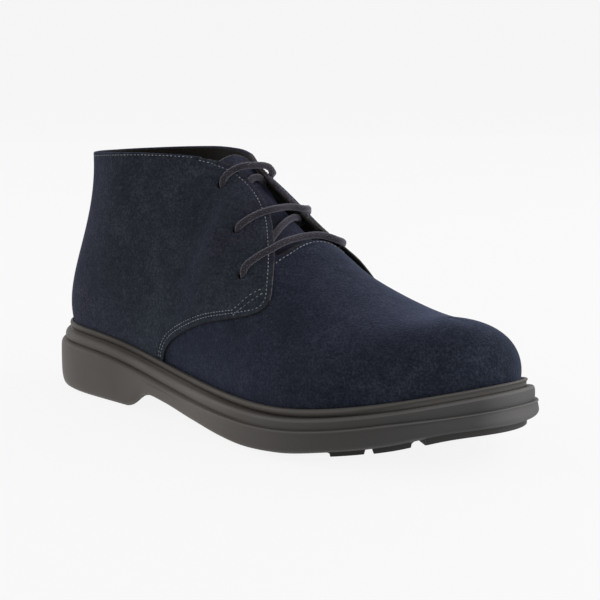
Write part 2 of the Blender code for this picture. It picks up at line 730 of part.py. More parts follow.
def cut_eyelets(upper):
    """Punches the round eyelets square through both facings."""
    faces = []
    angle = np.linspace(0, 2 * np.pi, EYELET_SIDES + 1)[:-1]
    for _, side, u, v in EYELETS:
        axis = shell_normal(u, v, side)
        across = unit(np.cross(axis, (0.0, 0.0, 1.0)))
        up = np.cross(axis, across)
        rim = (np.cos(angle)[:, None] * across + np.sin(angle)[:, None] * up) * EYELET_DIAMETER / 2
        ends = [shell(u, v, side) + rim + axis * reach for reach in (-CUTTER_REACH, CUTTER_REACH)]
        add_sheet(faces, [np.vstack([ring, ring[:1]]) for ring in ends])
        faces.extend([ends[0], ends[1][::-1]])
    cutter = solid("eyelet_cutter", faces, (0.5, 0.5, 0.5), 0.5)
    cutter.hide_render = True
    cutter.display_type = "WIRE"
    punch = upper.modifiers.new("eyelets", "BOOLEAN")
    punch.operation = "DIFFERENCE"
    punch.solver = "EXACT"
    punch.object = cutter


def lace_point(u, v, side, out):
    if side:
        return layer(u, v, side, out)
    return sum(layer(u, v, each, out) for each in SIDES) / 2


def through(pair, side):
    """Way out through an eyelet, square to the facing."""
    u, v = next(row[2:] for row in EYELETS if row[:2] == (pair, side))
    return [layer(u, v, side, out) for out in LACE_PASS]


def lace_route():
    """Points of the lace's centre line, from its first hidden end to its last."""
    route = [lace_point(*row) for row in FIRST_RUN]
    for pair, link in ((2, LOW_LINK), (1, HIGH_LINK), (0, LAST_RUN)):
        route += through(pair, MEDIAL)
        route += [lace_point(*row) for row in BARS[pair]]
        route += through(pair, LATERAL)[::-1]
        route += [lace_point(*row) for row in link]
    return np.array(route)


def lace_path():
    """The route as a smooth line, with points closer together where it bends."""
    route = lace_route()
    run = np.concatenate([[0], np.cumsum(np.linalg.norm(np.diff(route, axis=0), axis=1))])
    at = np.arange(0, run[-1], LACE_STEP)
    line = np.stack([smooth_curve(run, column)(at) for column in route.T], axis=-1)
    heading = unit(np.diff(line, axis=0))
    kept = [0]
    for i in range(1, len(heading)):
        turned = heading[i] @ heading[kept[-1]] < np.cos(np.radians(LACE_TURN))
        if turned or (i - kept[-1]) * LACE_STEP > LACE_REACH:
            kept.append(i)
    return line[kept + [len(line) - 1]]


def make_lace():
    """One round cord through all six eyelets, swept without twist."""
    path = lace_path()
    heading = unit(np.gradient(path, axis=0))
    angle = np.linspace(0, 2 * np.pi, LACE_SIDES + 1)[:-1]
    across = unit(np.cross(heading[0], (0.0, 0.0, 1.0)))
    rings = []
    for point, ahead in zip(path, heading):
        across = unit(across - ahead * (across @ ahead))
        up = np.cross(ahead, across)
        rim = (np.cos(angle)[:, None] * across + np.sin(angle)[:, None] * up) * LACE_DIAMETER / 2
        rings.append(point + rim)
    faces = [rings[0], rings[-1][::-1]]
    add_sheet(faces, [np.vstack([ring, ring[:1]]) for ring in rings])
    return solid("lace", faces, (0.030, 0.028, 0.040), 0.8)


def main():
    for thing in list(bpy.data.objects):
        bpy.data.objects.remove(thing)
    cut_eyelets(make_upper())
    make_tongue()
    make_lace()
    make_insole()
    make_welt()
    make_midsole()
    make_outsole()


main()
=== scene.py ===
"""Looks of a plain navy suede chukka boot, right foot: panels, stitching, lace, sole, light and camera.

Metres, +Z up, in the frame of the CAD model. +X runs from heel to toe and +Y to the medial side.
Places on the boot are given as (u, v, side). u runs from 0 at the back of the heel to 1 at the tip
of the toe. v runs up the upper: 0 at the welt's top and 1 at the collar or on the ridge of the foot.
"""

import bmesh
import bpy
import numpy as np
from mathutils import Matrix


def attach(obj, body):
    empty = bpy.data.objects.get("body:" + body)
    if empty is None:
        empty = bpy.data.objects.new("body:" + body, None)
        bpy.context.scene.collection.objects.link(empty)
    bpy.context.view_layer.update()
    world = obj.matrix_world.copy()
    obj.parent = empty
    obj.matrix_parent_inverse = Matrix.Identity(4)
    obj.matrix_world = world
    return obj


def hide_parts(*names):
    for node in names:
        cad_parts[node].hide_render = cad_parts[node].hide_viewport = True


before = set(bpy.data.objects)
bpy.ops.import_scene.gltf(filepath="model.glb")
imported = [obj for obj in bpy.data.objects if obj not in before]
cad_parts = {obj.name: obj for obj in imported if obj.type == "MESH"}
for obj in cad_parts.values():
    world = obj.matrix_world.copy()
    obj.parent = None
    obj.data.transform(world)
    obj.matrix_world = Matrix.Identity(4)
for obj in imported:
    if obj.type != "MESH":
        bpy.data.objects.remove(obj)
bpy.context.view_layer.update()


def table(columns, *rows):
    """Columns of numbers, by name."""
    return dict(zip(columns.split(), np.array(rows, float).T))


# Driving dimensions
SOLE_LENGTH = 0.302
BALL_WIDTH = 0.111
COLLAR_HEIGHT = 0.1225
HEEL_SEAT = 0.0335
HEEL_BACK = -0.040

LATERAL, MEDIAL = -1, 1
SIDES = (LATERAL, MEDIAL)
NUDGE = 0.0005
WELD = 0.00001

# Leather and clearances
VAMP_WALL = 0.0015
QUARTER_STEP = 0.0010
TONGUE_WALL = 0.0018
TUCK = 0.0025
INSET = 0.0085
QUARTER_BACKING = 0.0007
VAMP_BACKING = 0.0007
LAP_GAP = 0.0003
LINING_GAP = 0.0001
COLLAR_DROP = 0.06

# Rims: how far they bulge, and how square the cut ones are
SEAM_ROUND = 0.0005
CUT_ROUND = 0.0003
CUT_SQUARE = 0.55
RIM_STEPS = 6
BACK_SHARE = 0.004

# Widest outline of the sole: shares of the length and of the ball width, on each side of the axis.
OUTLINE = table(
    "along lateral medial",
    (0.0, 0.0, 0.0), (0.04, 0.227, 0.212), (0.10, 0.333, 0.306),
    (0.18, 0.371, 0.342), (0.28, 0.386, 0.333), (0.40, 0.415, 0.297),
    (0.52, 0.463, 0.311), (0.63, 0.516, 0.387), (0.72, 0.535, 0.450),
    (0.80, 0.501, 0.468), (0.88, 0.405, 0.419), (0.95, 0.241, 0.302),
    (1.00, -0.036, 0.036),
)

# Height of the welt's top along the sole, as a share of the heel seat's height.
FEATHER = table(
    "along height",
    (0.0, 1.000), (0.14, 0.985), (0.26, 0.910), (0.38, 0.761), (0.50, 0.633),
    (0.62, 0.585), (0.74, 0.624), (0.86, 0.782), (0.94, 0.940), (1.00, 1.075),
)

# Lower edge of the sole's side wall: flat heel, curved breast, arch, ball and toe spring.
UNDERSIDE = table(
    "x height",
    (-0.0400, 0.0), (0.0460, 0.0), (0.0495, 0.0005), (0.0530, 0.0016), (0.0565, 0.0034),
    (0.0600, 0.0056), (0.0630, 0.0073), (0.0660, 0.0082), (0.0700, 0.0086), (0.0840, 0.0073),
    (0.1090, 0.0037), (0.1370, 0.0009), (0.1510, 0.0004), (0.1770, 0.0019), (0.2010, 0.0054),
    (0.2260, 0.0100), (0.2470, 0.0160), (0.2620, 0.0182),
)

# Heel breast: how far its middle is set back from its ends, where the arch is highest, and the
# stretch of x with more stations, with their number.
BREAST_DEPTH = 0.018
ARCH_TOP = 0.070
BREAST = (0.024, 0.075, 60)
SOLE_STATIONS = 260

# Side of the sole, one row a rib or step: how far outward from the widest outline, how much of the
# way up from the underside to the feather line, how far above that, and how much higher at the toe.
# The bands are rounded at the heel and have crisp lips at the toe.
CRISP_FROM = 0.07
CRISP_TO = 0.17
TOE_LIFT_START = 0.225
TOE_LIFT_END = 0.262
HEEL_MIDSOLE_RIBS = (
    (-0.0100, 1.0, -0.0028, 0.0),
    (-0.0066, 1.0, -0.0028, 0.0),
    (-0.0056, 1.0, -0.0033, 0.0),
    (-0.0044, 1.0, -0.0037, 0.0),
    (-0.0034, 1.0, -0.0046, 0.0),
    (-0.0028, 1.0, -0.0060, 0.0),
    (-0.0030, 1.0, -0.0076, 0.0),
    (-0.0038, 1.0, -0.0084, 0.0),
)
TOE_MIDSOLE_RIBS = (
    (-0.0100, 1.0, -0.0028, 0.0),
    (-0.0064, 1.0, -0.0028, 0.0),
    (-0.0048, 1.0, -0.0029, 0.0002),
    (-0.0034, 1.0, -0.0031, 0.0002),
    (-0.0027, 1.0, -0.0038, 0.0002),
    (-0.0024, 1.0, -0.0052, 0.0),
    (-0.0024, 1.0, -0.0070, -0.0010),
    (-0.0026, 1.0, -0.0083, -0.0017),
)
HEEL_OUTSOLE_RIBS = (
    (-0.0040, 1.00, -0.0082, 0.0),
    (-0.0022, 1.00, -0.0086, 0.0),
    (-0.0010, 1.00, -0.0095, 0.0),
    (-0.0005, 1.00, -0.0112, 0.0),
    (-0.0003, 0.50, -0.0020, 0.0),
    (-0.0003, 0.24, 0.0, 0.0),
    (-0.0006, 0.14, 0.0, 0.0),
    (-0.0015, 0.05, 0.0, 0.0),
    (-0.0042, 0.0, 0.0, 0.0),
)
TOE_OUTSOLE_RIBS = (
    (-0.0036, 1.00, -0.0079, -0.0017),
    (-0.0024, 1.00, -0.0079, -0.0017),
    (-0.0010, 1.00, -0.0080, -0.0017),
    (-0.0008, 1.00, -0.0091, -0.0014),
    (-0.0014, 0.50, -0.0014, 0.0),
    (-0.0009, 0.26, 0.0, 0.0),
    (-0.0006, 0.14, 0.0, 0.0),
    (-0.0015, 0.05, 0.0, 0.0),
    (-0.0042, 0.0, 0.0, 0.0),
)
CORNER = 0.78

# Lips along the tops of the two bands, painted lighter as painted highlight: their rows are further out and
# higher than these.
MIDSOLE_LIP = (-0.0046, -0.0044)
OUTSOLE_LIP = (-0.0034, -0.0092)

# The welt's bead: its groove is deep along the side and shallow round the toe. Its rows nearest the
# foot are stepped out round the quarters.
SHALLOW_FROM = 0.205
SHALLOW_TO = 0.245
SIDE_WELT_RIBS = (
    (-0.0083, 1.0, -0.0031, 0.0),
    (-0.0081, 1.0, 0.0002, 0.0),
    (-0.0070, 1.0, 0.0008, 0.0),
    (-0.0058, 1.0, 0.0004, 0.0),
    (-0.0053, 1.0, -0.0006, 0.0),
    (-0.0058, 1.0, -0.0019, 0.0),
    (-0.0072, 1.0, -0.0031, 0.0),
)
TOE_WELT_RIBS = (
    (-0.0083, 1.0, -0.0031, 0.0),
    (-0.0081, 1.0, 0.0002, 0.0),
    (-0.0070, 1.0, 0.0008, 0.0),
    (-0.0058, 1.0, 0.0005, 0.0),
    (-0.0054, 1.0, -0.0002, 0.0),
    (-0.0061, 1.0, -0.0010, 0.0),
    (-0.0060, 1.0, -0.0031, 0.0),
)
STEPPED_FROM = -0.0068
STEPPED_OVER = 0.0012
WELT_FADE = 0.05

# Tread lugs across the forefoot: where each starts and ends, how far in from the outline it stops
# and how far it stands below the side wall, down to the floor at most. The channels between them
# slant back from both edges, by LUG_SLANT of x for each y.
LUGS = table(
    "start end inset height",
    (0.1280, 0.1420, 0.0140, 0.0021), (0.1460, 0.1600, 0.0140, 0.0021),
    (0.1640, 0.1780, 0.0140, 0.0021), (0.1820, 0.1995, 0.0200, 0.0021),
    (0.2036, 0.2174, 0.0055, 0.0021), (0.2213, 0.2336, 0.0055, 0.0023),
    (0.2384, 0.2585, 0.0055, 0.0028),
)
LUG_SLOPE = 0.0003
LUG_SLANT = 1.1
NOTCHED = (0.184, 0.246, 125)
UNDER_EDGE_SHARES = (0.33, 0.67, 1.0)
TREAD_EDGE_SHARE = 0.17
TREAD_EDGE_COLUMNS = 17
TREAD_COLUMNS = 14

# Footbed's edge, from its underside up: how far in it lies, and how high over the underside.
FOOTBED_EDGE = ((0.0, 0.0), (0.0, 0.0014), (0.0003, 0.0022), (0.0012, 0.0028), (0.0040, 0.0030))
INSOLE_CLEARANCE = 0.0014
INSOLE_DISH = 0.0008

# Cross-sections of the upper, heel to toe. top_x and top_z are shares of the sole's length (from the
# heel's back) and of the collar's height, top_half a share of the ball width. The wall leaves the
# welt leaning outward by the lean angles and arrives at the top along (arrive_x, arrive_in,
# arrive_up); low and high say how far it keeps those directions, as shares of the straight distance.
SECTIONS = table(
    "along top_x top_half top_z lean_lateral lean_medial low high arrive_x arrive_in arrive_up",
    (0.0, 0.1020, 0.0, 0.986, 14.0, 14.0, 0.276, 0.403, -0.07, 0.0, 1.00),
    (0.04, 0.1245, 0.142, 0.989, 13.5, 13.5, 0.277, 0.403, -0.12, 0.05, 1.00),
    (0.10, 0.1735, 0.248, 0.994, 12.5, 12.5, 0.280, 0.404, -0.16, 0.08, 1.00),
    (0.18, 0.2410, 0.276, 1.000, 12.0, 13.0, 0.295, 0.397, -0.15, 0.10, 1.00),
    (0.28, 0.3240, 0.225, 1.001, 12.0, 15.0, 0.310, 0.390, -0.12, 0.15, 1.00),
    (0.36, 0.3990, 0.138, 0.989, 11.0, 15.5, 0.322, 0.360, -0.22, 0.32, 0.92),
    (0.42, 0.4460, 0.060, 0.959, 9.5, 16.0, 0.332, 0.340, -0.26, 0.62, 0.62),
    (0.50, 0.5000, 0.012, 0.876, 8.0, 15.5, 0.340, 0.330, -0.08, 0.97, 0.12),
    (0.58, 0.5630, 0.0, 0.767, 8.0, 13.5, 0.350, 0.335, 0.0, 1.00, 0.0),
    (0.66, 0.6340, 0.0, 0.650, 7.5, 10.0, 0.355, 0.350, 0.0, 1.00, 0.0),
    (0.74, 0.7060, 0.0, 0.561, 7.5, 8.5, 0.365, 0.370, 0.0, 1.00, 0.0),
    (0.82, 0.7750, 0.0, 0.499, 8.0, 8.0, 0.370, 0.430, 0.0, 1.00, 0.0),
    (0.90, 0.8305, 0.0, 0.477, 8.5, 8.5, 0.340, 0.540, -0.20, 1.00, 0.01),
    (0.96, 0.8630, 0.0, 0.484, 9.3, 9.3, 0.330, 0.600, -0.60, 0.80, 0.03),
    (1.00, 0.8745, 0.0, 0.483, 10.3, 10.3, 0.330, 0.620, -1.00, 0.0, 0.04),
)

# Front edge of the quarter, a row each from the sole up: seam, rounded tab, facing, rounded collar
# corner. back_v is where the same row of the leather meets the back of the heel. flare is how much
# further out the edge of the medial quarter stands, where its tab lifts off the vamp.
EDGE = table(
    "u v back_v flare",
    (0.422, 0.0, 0.0, 0.0), (0.428, 0.061, 0.050, 0.0),
    (0.440, 0.128, 0.100, 0.0), (0.461, 0.190, 0.150, 0.0),
    (0.494, 0.252, 0.200, 0.0), (0.536, 0.318, 0.250, 0.0),
    (0.567, 0.380, 0.300, 0.0), (0.587, 0.444, 0.350, 0.0005),
    (0.593, 0.510, 0.400, 0.0011), (0.590, 0.565, 0.450, 0.0015),
    (0.583, 0.632, 0.500, 0.0016), (0.571, 0.717, 0.560, 0.0009),
    (0.555, 0.797, 0.620, 0.0002), (0.540, 0.855, 0.680, 0.0),
    (0.524, 0.896, 0.740, 0.0), (0.509, 0.923, 0.790, 0.0),
    (0.493, 0.943, 0.840, 0.0), (0.475, 0.961, 0.880, 0.0),
    (0.458, 0.976, 0.920, 0.0), (0.441, 0.989, 0.950, 0.0),
    (0.426, 0.997, 0.975, 0.0), (0.408, 1.000, 1.000, 0.0),
)
TOP_ROW = len(EDGE["u"]) - 1
TAB_START = 0.82
TAB_LIFT = 1.5
# Rows above this have a pale cut front edge; below it the edge takes the dark lining as painted shadow under
# the quarter's edge.
PALE_EDGE_FROM = 8.0

# Throat edge of the vamp, from the facing to the ridge, beginning at the quarter's crossing row.
# toe_v is where each row reaches the toe's centre line; the rows below run evenly from the seam.
CROSSING_ROW = 11
THROAT = table(
    "u v toe_v",
    (0.571, 0.717, 0.64), (0.575, 0.780, 0.72), (0.577, 0.850, 0.79),
    (0.578, 0.910, 0.86), (0.578, 0.960, 0.93), (0.578, 1.000, 1.00),
)
RIDGE_ROW = CROSSING_ROW + len(THROAT["u"]) - 1
THROAT_SHIFT_ROWS = (11.0, 11.8, 16.0)
THROAT_SHIFT = (0.0, 0.0038, 0.0020)
VAMP_LAP_ROWS = (8.0, 10.0, 11.4)
VAMP_LAP = (0.028, 0.013, 0.0)

# Soft creases and hollows: two ends in (u, v), side, half width and height in metres.
CREASES = (
    (0.455, 0.78, 0.449, 0.45, -1, 0.011, -0.0005),
    (0.600, 0.55, 0.660, 0.30, -1, 0.010, -0.0005),
    (0.660, 0.80, 0.680, 0.45, -1, 0.011, 0.0004),
    (0.300, 0.62, 0.380, 0.55, 1, 0.012, -0.0007),
    (0.620, 0.70, 0.660, 0.35, 1, 0.010, -0.0005),
)

# Tongue's middle line, from its rounded top to its end under the vamp, with the shape across it:
# half the width, how far its edges hang below the middle, how far forward and aside they lie.
TONGUE = table(
    "x z half_width sag forward aside",
    (0.0862, 0.1223, 0.0086, 0.0024, 0.0008, -0.0010),
    (0.0870, 0.1213, 0.0100, 0.0034, 0.0010, -0.0010),
    (0.0892, 0.1188, 0.0107, 0.0044, 0.0012, -0.0010),
    (0.0925, 0.1156, 0.0110, 0.0062, 0.0020, -0.0009),
    (0.0965, 0.1117, 0.0128, 0.0092, 0.0040, -0.0010),
    (0.1010, 0.1071, 0.0160, 0.0128, 0.0047, -0.0015),
    (0.1075, 0.1025, 0.0178, 0.0127, 0.0033, -0.0021),
    (0.1146, 0.0974, 0.0184, 0.0120, 0.0026, -0.0025),
    (0.1222, 0.0921, 0.0188, 0.0116, 0.0026, -0.0027),
    (0.1285, 0.0877, 0.0187, 0.0106, 0.0027, -0.0026),
    (0.1345, 0.0841, 0.0180, 0.0085, 0.0023, -0.0023),
    (0.1415, 0.0810, 0.0167, 0.0062, 0.0017, -0.0018),
    (0.1493, 0.0776, 0.0146, 0.0039, 0.0011, -0.0013),
    (0.1570, 0.0741, 0.0108, 0.0020, 0.0007, -0.0008),
)
TONGUE_ROUND = TONGUE_WALL / 3
TONGUE_ARCH = 1.9
TONGUE_SQUARE = 0.7

# Eyelets from the top pair down: number of the pair, side, u and v.
EYELETS = (
    (0, -1, 0.442, 0.885), (0, 1, 0.442, 0.885),
    (1, -1, 0.515, 0.692), (1, 1, 0.504, 0.705),
    (2, -1, 0.548, 0.534), (2, 1, 0.538, 0.545),
)
EYELET_DIAMETER = 0.0047
EYELET_SIDES = 16
CUTTER_REACH = 0.0050

# Lace, by u, v, side and the height of the cord's centre over the vamp's outer face; side 0 is the
# middle of the throat. The bars run from the medial eyelet to the lateral one.
BARS = (
    (
        (0.4500, 0.915, 1, 0.0030), (0.4605, 0.938, 1, 0.0030),
        (0.4640, 0.968, 1, 0.0038), (0.4650, 1.000, 0, 0.0044),
        (0.4600, 0.990, -1, 0.0038), (0.4506, 0.953, -1, 0.0029),
    ),
    (
        (0.5120, 0.755, 1, 0.0022), (0.5240, 0.815, 1, 0.0022),
        (0.5325, 0.880, 1, 0.0018), (0.5340, 0.960, 1, 0.0014),
        (0.5345, 0.960, -1, 0.0020), (0.5333, 0.894, -1, 0.0029),
        (0.5292, 0.835, -1, 0.0030), (0.5240, 0.775, -1, 0.0029),
        (0.5200, 0.730, -1, 0.0029),
    ),
    (
        (0.5480, 0.610, 1, 0.0030), (0.5610, 0.680, 1, 0.0030),
        (0.5740, 0.760, 1, 0.0030), (0.5800, 0.840, 1, 0.0026),
        (0.5790, 0.920, 1, 0.0022), (0.5775, 1.000, 0, 0.0018),
        (0.5745, 0.880, -1, 0.0020), (0.5710, 0.790, -1, 0.0029),
        (0.5670, 0.725, -1, 0.0030), (0.5615, 0.671, -1, 0.0029),
        (0.5555, 0.618, -1, 0.0029), (0.5510, 0.570, -1, 0.0029),
    ),
)

# Steps of the way out through an eyelet, slanting as the bar runs: shifts along u and v, and height.
THROUGH = ((-0.0015, -0.018, -0.0030), (0.0, 0.0, -0.0004), (0.0010, 0.014, 0.0016))

# Hidden runs of the lace, under the facings and over the tongue, from a free end or an eyelet on.
FIRST_RUN = (
    (0.438, 0.800, 1, -0.0038), (0.462, 0.700, 1, -0.0038),
    (0.496, 0.590, 1, -0.0038), (0.529, 0.536, 1, -0.0046),
)
LOW_LINK = (
    (0.5500, 0.580, -1, -0.0038), (0.5530, 0.720, -1, -0.0038),
    (0.5505, 0.833, -1, -0.0038), (0.5460, 0.930, -1, -0.0038),
    (0.5415, 1.000, 0, -0.0038), (0.5350, 0.912, 1, -0.0038),
    (0.5220, 0.800, 1, -0.0038), (0.5110, 0.744, 1, -0.0038),
)
HIGH_LINK = (
    (0.508, 0.742, -1, -0.0038), (0.492, 0.840, -1, -0.0038),
    (0.478, 0.930, -1, -0.0034), (0.470, 1.000, 0, -0.0022),
    (0.464, 0.965, 1, -0.0028), (0.456, 0.925, 1, -0.0038),
)
LAST_RUN = (
    (0.439, 0.858, -1, -0.0038), (0.434, 0.815, -1, -0.0038),
)
LACE_DIAMETER = 0.0034
LACE_STEP = 0.00035
LACE_SIDES = 24
BRAID_STRANDS = 16
BRAID_PITCH = 0.0022
BRAID_RELIEF = 0.07

# Stitch lines in (u, v): the pair across the quarter's tab, and the one along the vamp's throat.
TAB_STITCHES = (
    ((0.550, 0.352), (0.5606, 0.4025), (0.5683, 0.4427), (0.5762, 0.489), (0.5830, 0.530)),
    ((0.5500, 0.383), (0.5545, 0.404), (0.5604, 0.4387), (0.5694, 0.4912), (0.5793, 0.541)),
)
THROAT_STITCHES = (
    (0.5770, 0.690), (0.5783, 0.7208), (0.5809, 0.770), (0.5825, 0.8224), (0.5828, 0.8944),
    (0.5826, 0.960), (0.5826, 1.0),
)
THROAT_STITCH = 0.010
THROAT_TROUGH = 0.012
EDGE_STITCH = 0.0024
SECOND_STITCH = 0.0040
COLLAR_STITCH = 0.0022
DOUBLE_UP_TO = 6.0
FACING_STITCH_ROWS = (0.3, 19.3)
COLLAR_STITCH_SHARES = (0.01, 0.97)
EDGE_STITCH_REACH = 0.93
STITCH_SINK = 0.00022
STITCH_TROUGH = 0.0007
STITCH_PITCH = 0.0021
STITCH_LENGTH = 0.0013
THREAD = 0.00042
THREAD_SIDES = 6
STITCH_ARCH = (-0.45, 0.25, 0.42, 0.42, 0.25, -0.45)
STITCH_GIRTH = (0.45, 0.9, 1.0, 1.0, 0.9, 0.45)

# Grids of the sheets: start, turn and end, with the number of steps up to the turn and from there.
QUARTER_ROWS = (0, 20.4, TOP_ROW, 131, 7)
QUARTER_SHARES = (BACK_SHARE, 0.955, 1.0, 84, 14)
VAMP_ROWS = (0, CROSSING_ROW, RIDGE_ROW, 51, 25)
VAMP_SHARES = (0, 0.06, 1, 10, 95)
LINING_SHARES = (0, 0.975, 1.0, 38, 1)
TONGUE_STEPS = (0, 2, 13, 20, 69)
TONGUE_COLUMNS = 41
LINING_ROWS = 64
LINING_THROAT_ROWS = 14
FOOTBED_STATIONS = 160
FOOTBED_COLUMNS = 25
EDGE_LINE_POINTS = 240
LINE_POINTS = 200
STATION_DIGITS = 5

# Rows over which the quarter's inner face leaves the vamp's, and the throat's stitches sink in.
LEAVE_ROWS = 1.5
FADE_ROWS = 0.25

# Camera, floor and lights
CAMERA_AZIMUTH = 47.78
CAMERA_ELEVATION = 8.757
CAMERA_ROLL = -0.773
CAMERA_DISTANCE = 0.7644
CAMERA_TARGET = np.array((0.1316, 0.0, 0.0569))
LENS = 98.688
SENSOR = 36.0
FLOOR_RADIUS = 2.2
FLOOR_BEND = 0.8
WALL_TOP = 2.6
FLOOR_DROP = -0.0002
FLOOR_GLOW = 0.885
WORLD_GLOW = 0.12
LIGHTS_TARGET = (0.11, 0.0, 0.05)
LIGHTS = (
    ("toe_side", (1.35, 0.35, 0.5), (1.0, 1.0), 11.5),
    ("heel_side", (-1.1, -0.65, 0.8), (1.0, 1.2), 7.0),
    ("far_side", (0.5, 1.3, 0.9), (1.0, 1.0), 9.5),
    ("high_toe_side", (1.0, 0.3, 1.2), (1.0, 1.0), 3.5),
    ("near_side", (1.0, -0.95, 0.6), (1.0, 1.0), 2.3),
)


# ------------------------------------------------------------------ curves

def station(along):
    """u of a place that lies this share of the sole's length from the heel's back."""
    return np.arccos(1 - 2 * np.asarray(along, float)) / np.pi


def station_at(x):
    """u of the widest outline's point at this x."""
    return station((np.asarray(x, float) - HEEL_BACK) / SOLE_LENGTH)


def stretch(knots, at):
    """Number of the stretch between two knots that at lies in, and how far along it, 0 to 1."""
    at = np.clip(at, knots[0], knots[-1])
    i = np.clip(np.searchsorted(knots, at, side="right") - 1, 0, len(knots) - 2)
    return i, (at - knots[i]) / (knots[i + 1] - knots[i])


def smooth_curve(knots, values, level=False):
    """Cubic spline through values at knots; its ends are level, or free of bending."""
    gap = np.diff(knots)
    rise = np.diff(values) / gap
    pull = np.zeros(len(knots))
    pull[1:-1] = 6 * np.diff(rise)
    system = np.eye(len(knots))
    for i in range(1, len(knots) - 1):
        system[i, i - 1:i + 2] = gap[i - 1], 2 * (gap[i - 1] + gap[i]), gap[i]
    if level:
        system[0, :2] = 2 * gap[0], gap[0]
        system[-1, -2:] = gap[-1], 2 * gap[-1]
        pull[0], pull[-1] = 6 * rise[0], -6 * rise[-1]
    bend = np.linalg.solve(system, pull)

    def value(at):
        i, b = stretch(knots, at)
        a = 1 - b
        curve = (a**3 - a) * bend[i] + (b**3 - b) * bend[i + 1]
        return a * values[i] + b * values[i + 1] + curve * gap[i]**2 / 6

    return value


def steady_curve(knots, values):
    """Smooth curve through values at knots that never swings past them."""
    gap = np.diff(knots)
    rise = np.diff(values) / gap
    slope = np.concatenate([rise[:1], np.zeros(len(knots) - 2), rise[-1:]])
    product = 2 * rise[1:] * rise[:-1]
    same_way = product > 0
    slope[1:-1][same_way] = product[same_way] / (rise[1:] + rise[:-1])[same_way]

    def value(at):
        i, t = stretch(knots, at)
        start = (1 + 2 * t) * (1 - t)**2 * values[i] + t * (1 - t)**2 * gap[i] * slope[i]
        end = t**2 * (3 - 2 * t) * values[i + 1] - t**2 * (1 - t) * gap[i] * slope[i + 1]
        return start + end

    return value


def unit(vectors):
    return vectors / np.linalg.norm(vectors, axis=-1, keepdims=True)


def eased(at, start, end):
    """0 up to start and 1 from end on, with a smooth run between."""
    t = np.clip((at - start) / (end - start), 0, 1)
    return t * t * (3 - 2 * t)


def spread(start, turn, end, before, after):
    """Numbers from start to end, evenly spaced on each side of turn."""
    return np.concatenate([np.linspace(start, turn, before + 1)[:-1], np.linspace(turn, end, after + 1)])


def run_of(path):
    """How far along the path each of its points lies."""
    return np.concatenate([[0], np.cumsum(np.linalg.norm(np.diff(path, axis=0), axis=1))])


def read_off(at, run, columns):
    """Values at these distances along a path, from the values at its points."""
    return np.stack([np.interp(at, run, column) for column in columns.T], axis=-1)


OUTLINE_OF = {
    LATERAL: smooth_curve(station(OUTLINE["along"]), OUTLINE["lateral"]),
    MEDIAL: smooth_curve(station(OUTLINE["along"]), OUTLINE["medial"]),
}
SECTION_AT = station(SECTIONS["along"])
SECTION_OF = {
    name: smooth_curve(SECTION_AT, column, name != "arrive_in")
    for name, column in SECTIONS.items() if name != "along"
}
SECTION_OF["top_half"] = steady_curve(SECTION_AT, SECTIONS["top_half"])
FEATHER_OF = smooth_curve(FEATHER["along"], FEATHER["height"])
UNDERSIDE_OF = steady_curve(UNDERSIDE["x"], UNDERSIDE["height"])
EDGE_OF = {name: smooth_curve(np.arange(TOP_ROW + 1.0), EDGE[name]) for name in ("u", "v", "back_v")}
FLARE_OF = steady_curve(np.arange(TOP_ROW + 1.0), EDGE["flare"])
THROAT_ROWS = np.arange(CROSSING_ROW, RIDGE_ROW + 1.0)
THROAT_OF = {name: smooth_curve(THROAT_ROWS, THROAT[name]) for name in ("u", "v")}


# ---------------------------------------------------------------- surfaces

def widest(u, side):
    """Plan point (x, y) of the sole's widest outline."""
    x = HEEL_BACK + SOLE_LENGTH * (1 - np.cos(np.pi * u)) / 2
    return np.stack([x, side * BALL_WIDTH * OUTLINE_OF[side](u)], axis=-1)


def away(u, side):
    """Unit plan vector square to the outline, pointing away from the foot."""
    ahead = unit(widest(np.clip(u + NUDGE, 0, 1), side) - widest(np.clip(u - NUDGE, 0, 1), side))
    out = side * np.stack([-ahead[..., 1], ahead[..., 0]], axis=-1)
    out = np.where((u <= 0)[..., None], (-1.0, 0.0), out)
    return np.where((u >= 1)[..., None], (1.0, 0.0), out)


def feather(x):
    """Height of the welt's top at this x."""
    return HEEL_SEAT * FEATHER_OF((x - HEEL_BACK) / SOLE_LENGTH)


def rib_point(u, side, outward, share, lift, toe_lift=0.0):
    """Point of the sole's side; the arguments after side are a row of one of the rib tables."""
    u = np.asarray(u, float)
    plan = widest(u, side) + away(u, side) * np.asarray(outward)[..., None]
    x = plan[..., 0]
    low = UNDERSIDE_OF(x)
    z = low + share * (feather(x) - low) + lift + toe_lift * eased(x, TOE_LIFT_START, TOE_LIFT_END)
    return np.concatenate([plan, z[..., None]], axis=-1)


def shell(u, v, side):
    """Outer face of the vamp leather, carried on under the quarter and over the throat."""
    u, v = np.broadcast_arrays(np.asarray(u, float), np.asarray(v, float))
    cut = {name: curve(u) for name, curve in SECTION_OF.items()}
    out = away(u, side)
    foot = rib_point(u, side, -INSET, 1, 0)
    lean = np.radians(cut["lean_lateral" if side == LATERAL else "lean_medial"])
    leave = np.stack([out[..., 0] * np.sin(lean), out[..., 1] * np.sin(lean), np.cos(lean)], axis=-1)
    half = BALL_WIDTH * np.maximum(cut["top_half"], 0)
    top_x = HEEL_BACK + SOLE_LENGTH * cut["top_x"]
    top = np.stack([top_x, side * half, COLLAR_HEIGHT * cut["top_z"]], axis=-1)
    arrive = unit(np.stack([cut["arrive_x"], -side * cut["arrive_in"], cut["arrive_up"]], axis=-1))
    span = np.linalg.norm(top - foot, axis=-1, keepdims=True)
    low = foot + leave * span * cut["low"][..., None]
    high = top - arrive * span * cut["high"][..., None]
    t = np.clip(v, 0, 1)[..., None]
    rise = foot * (1 - t)**3 + 3 * low * t * (1 - t)**2 + 3 * high * t**2 * (1 - t) + top * t**3
    return rise + leave * TUCK * np.minimum(v, 0)[..., None]


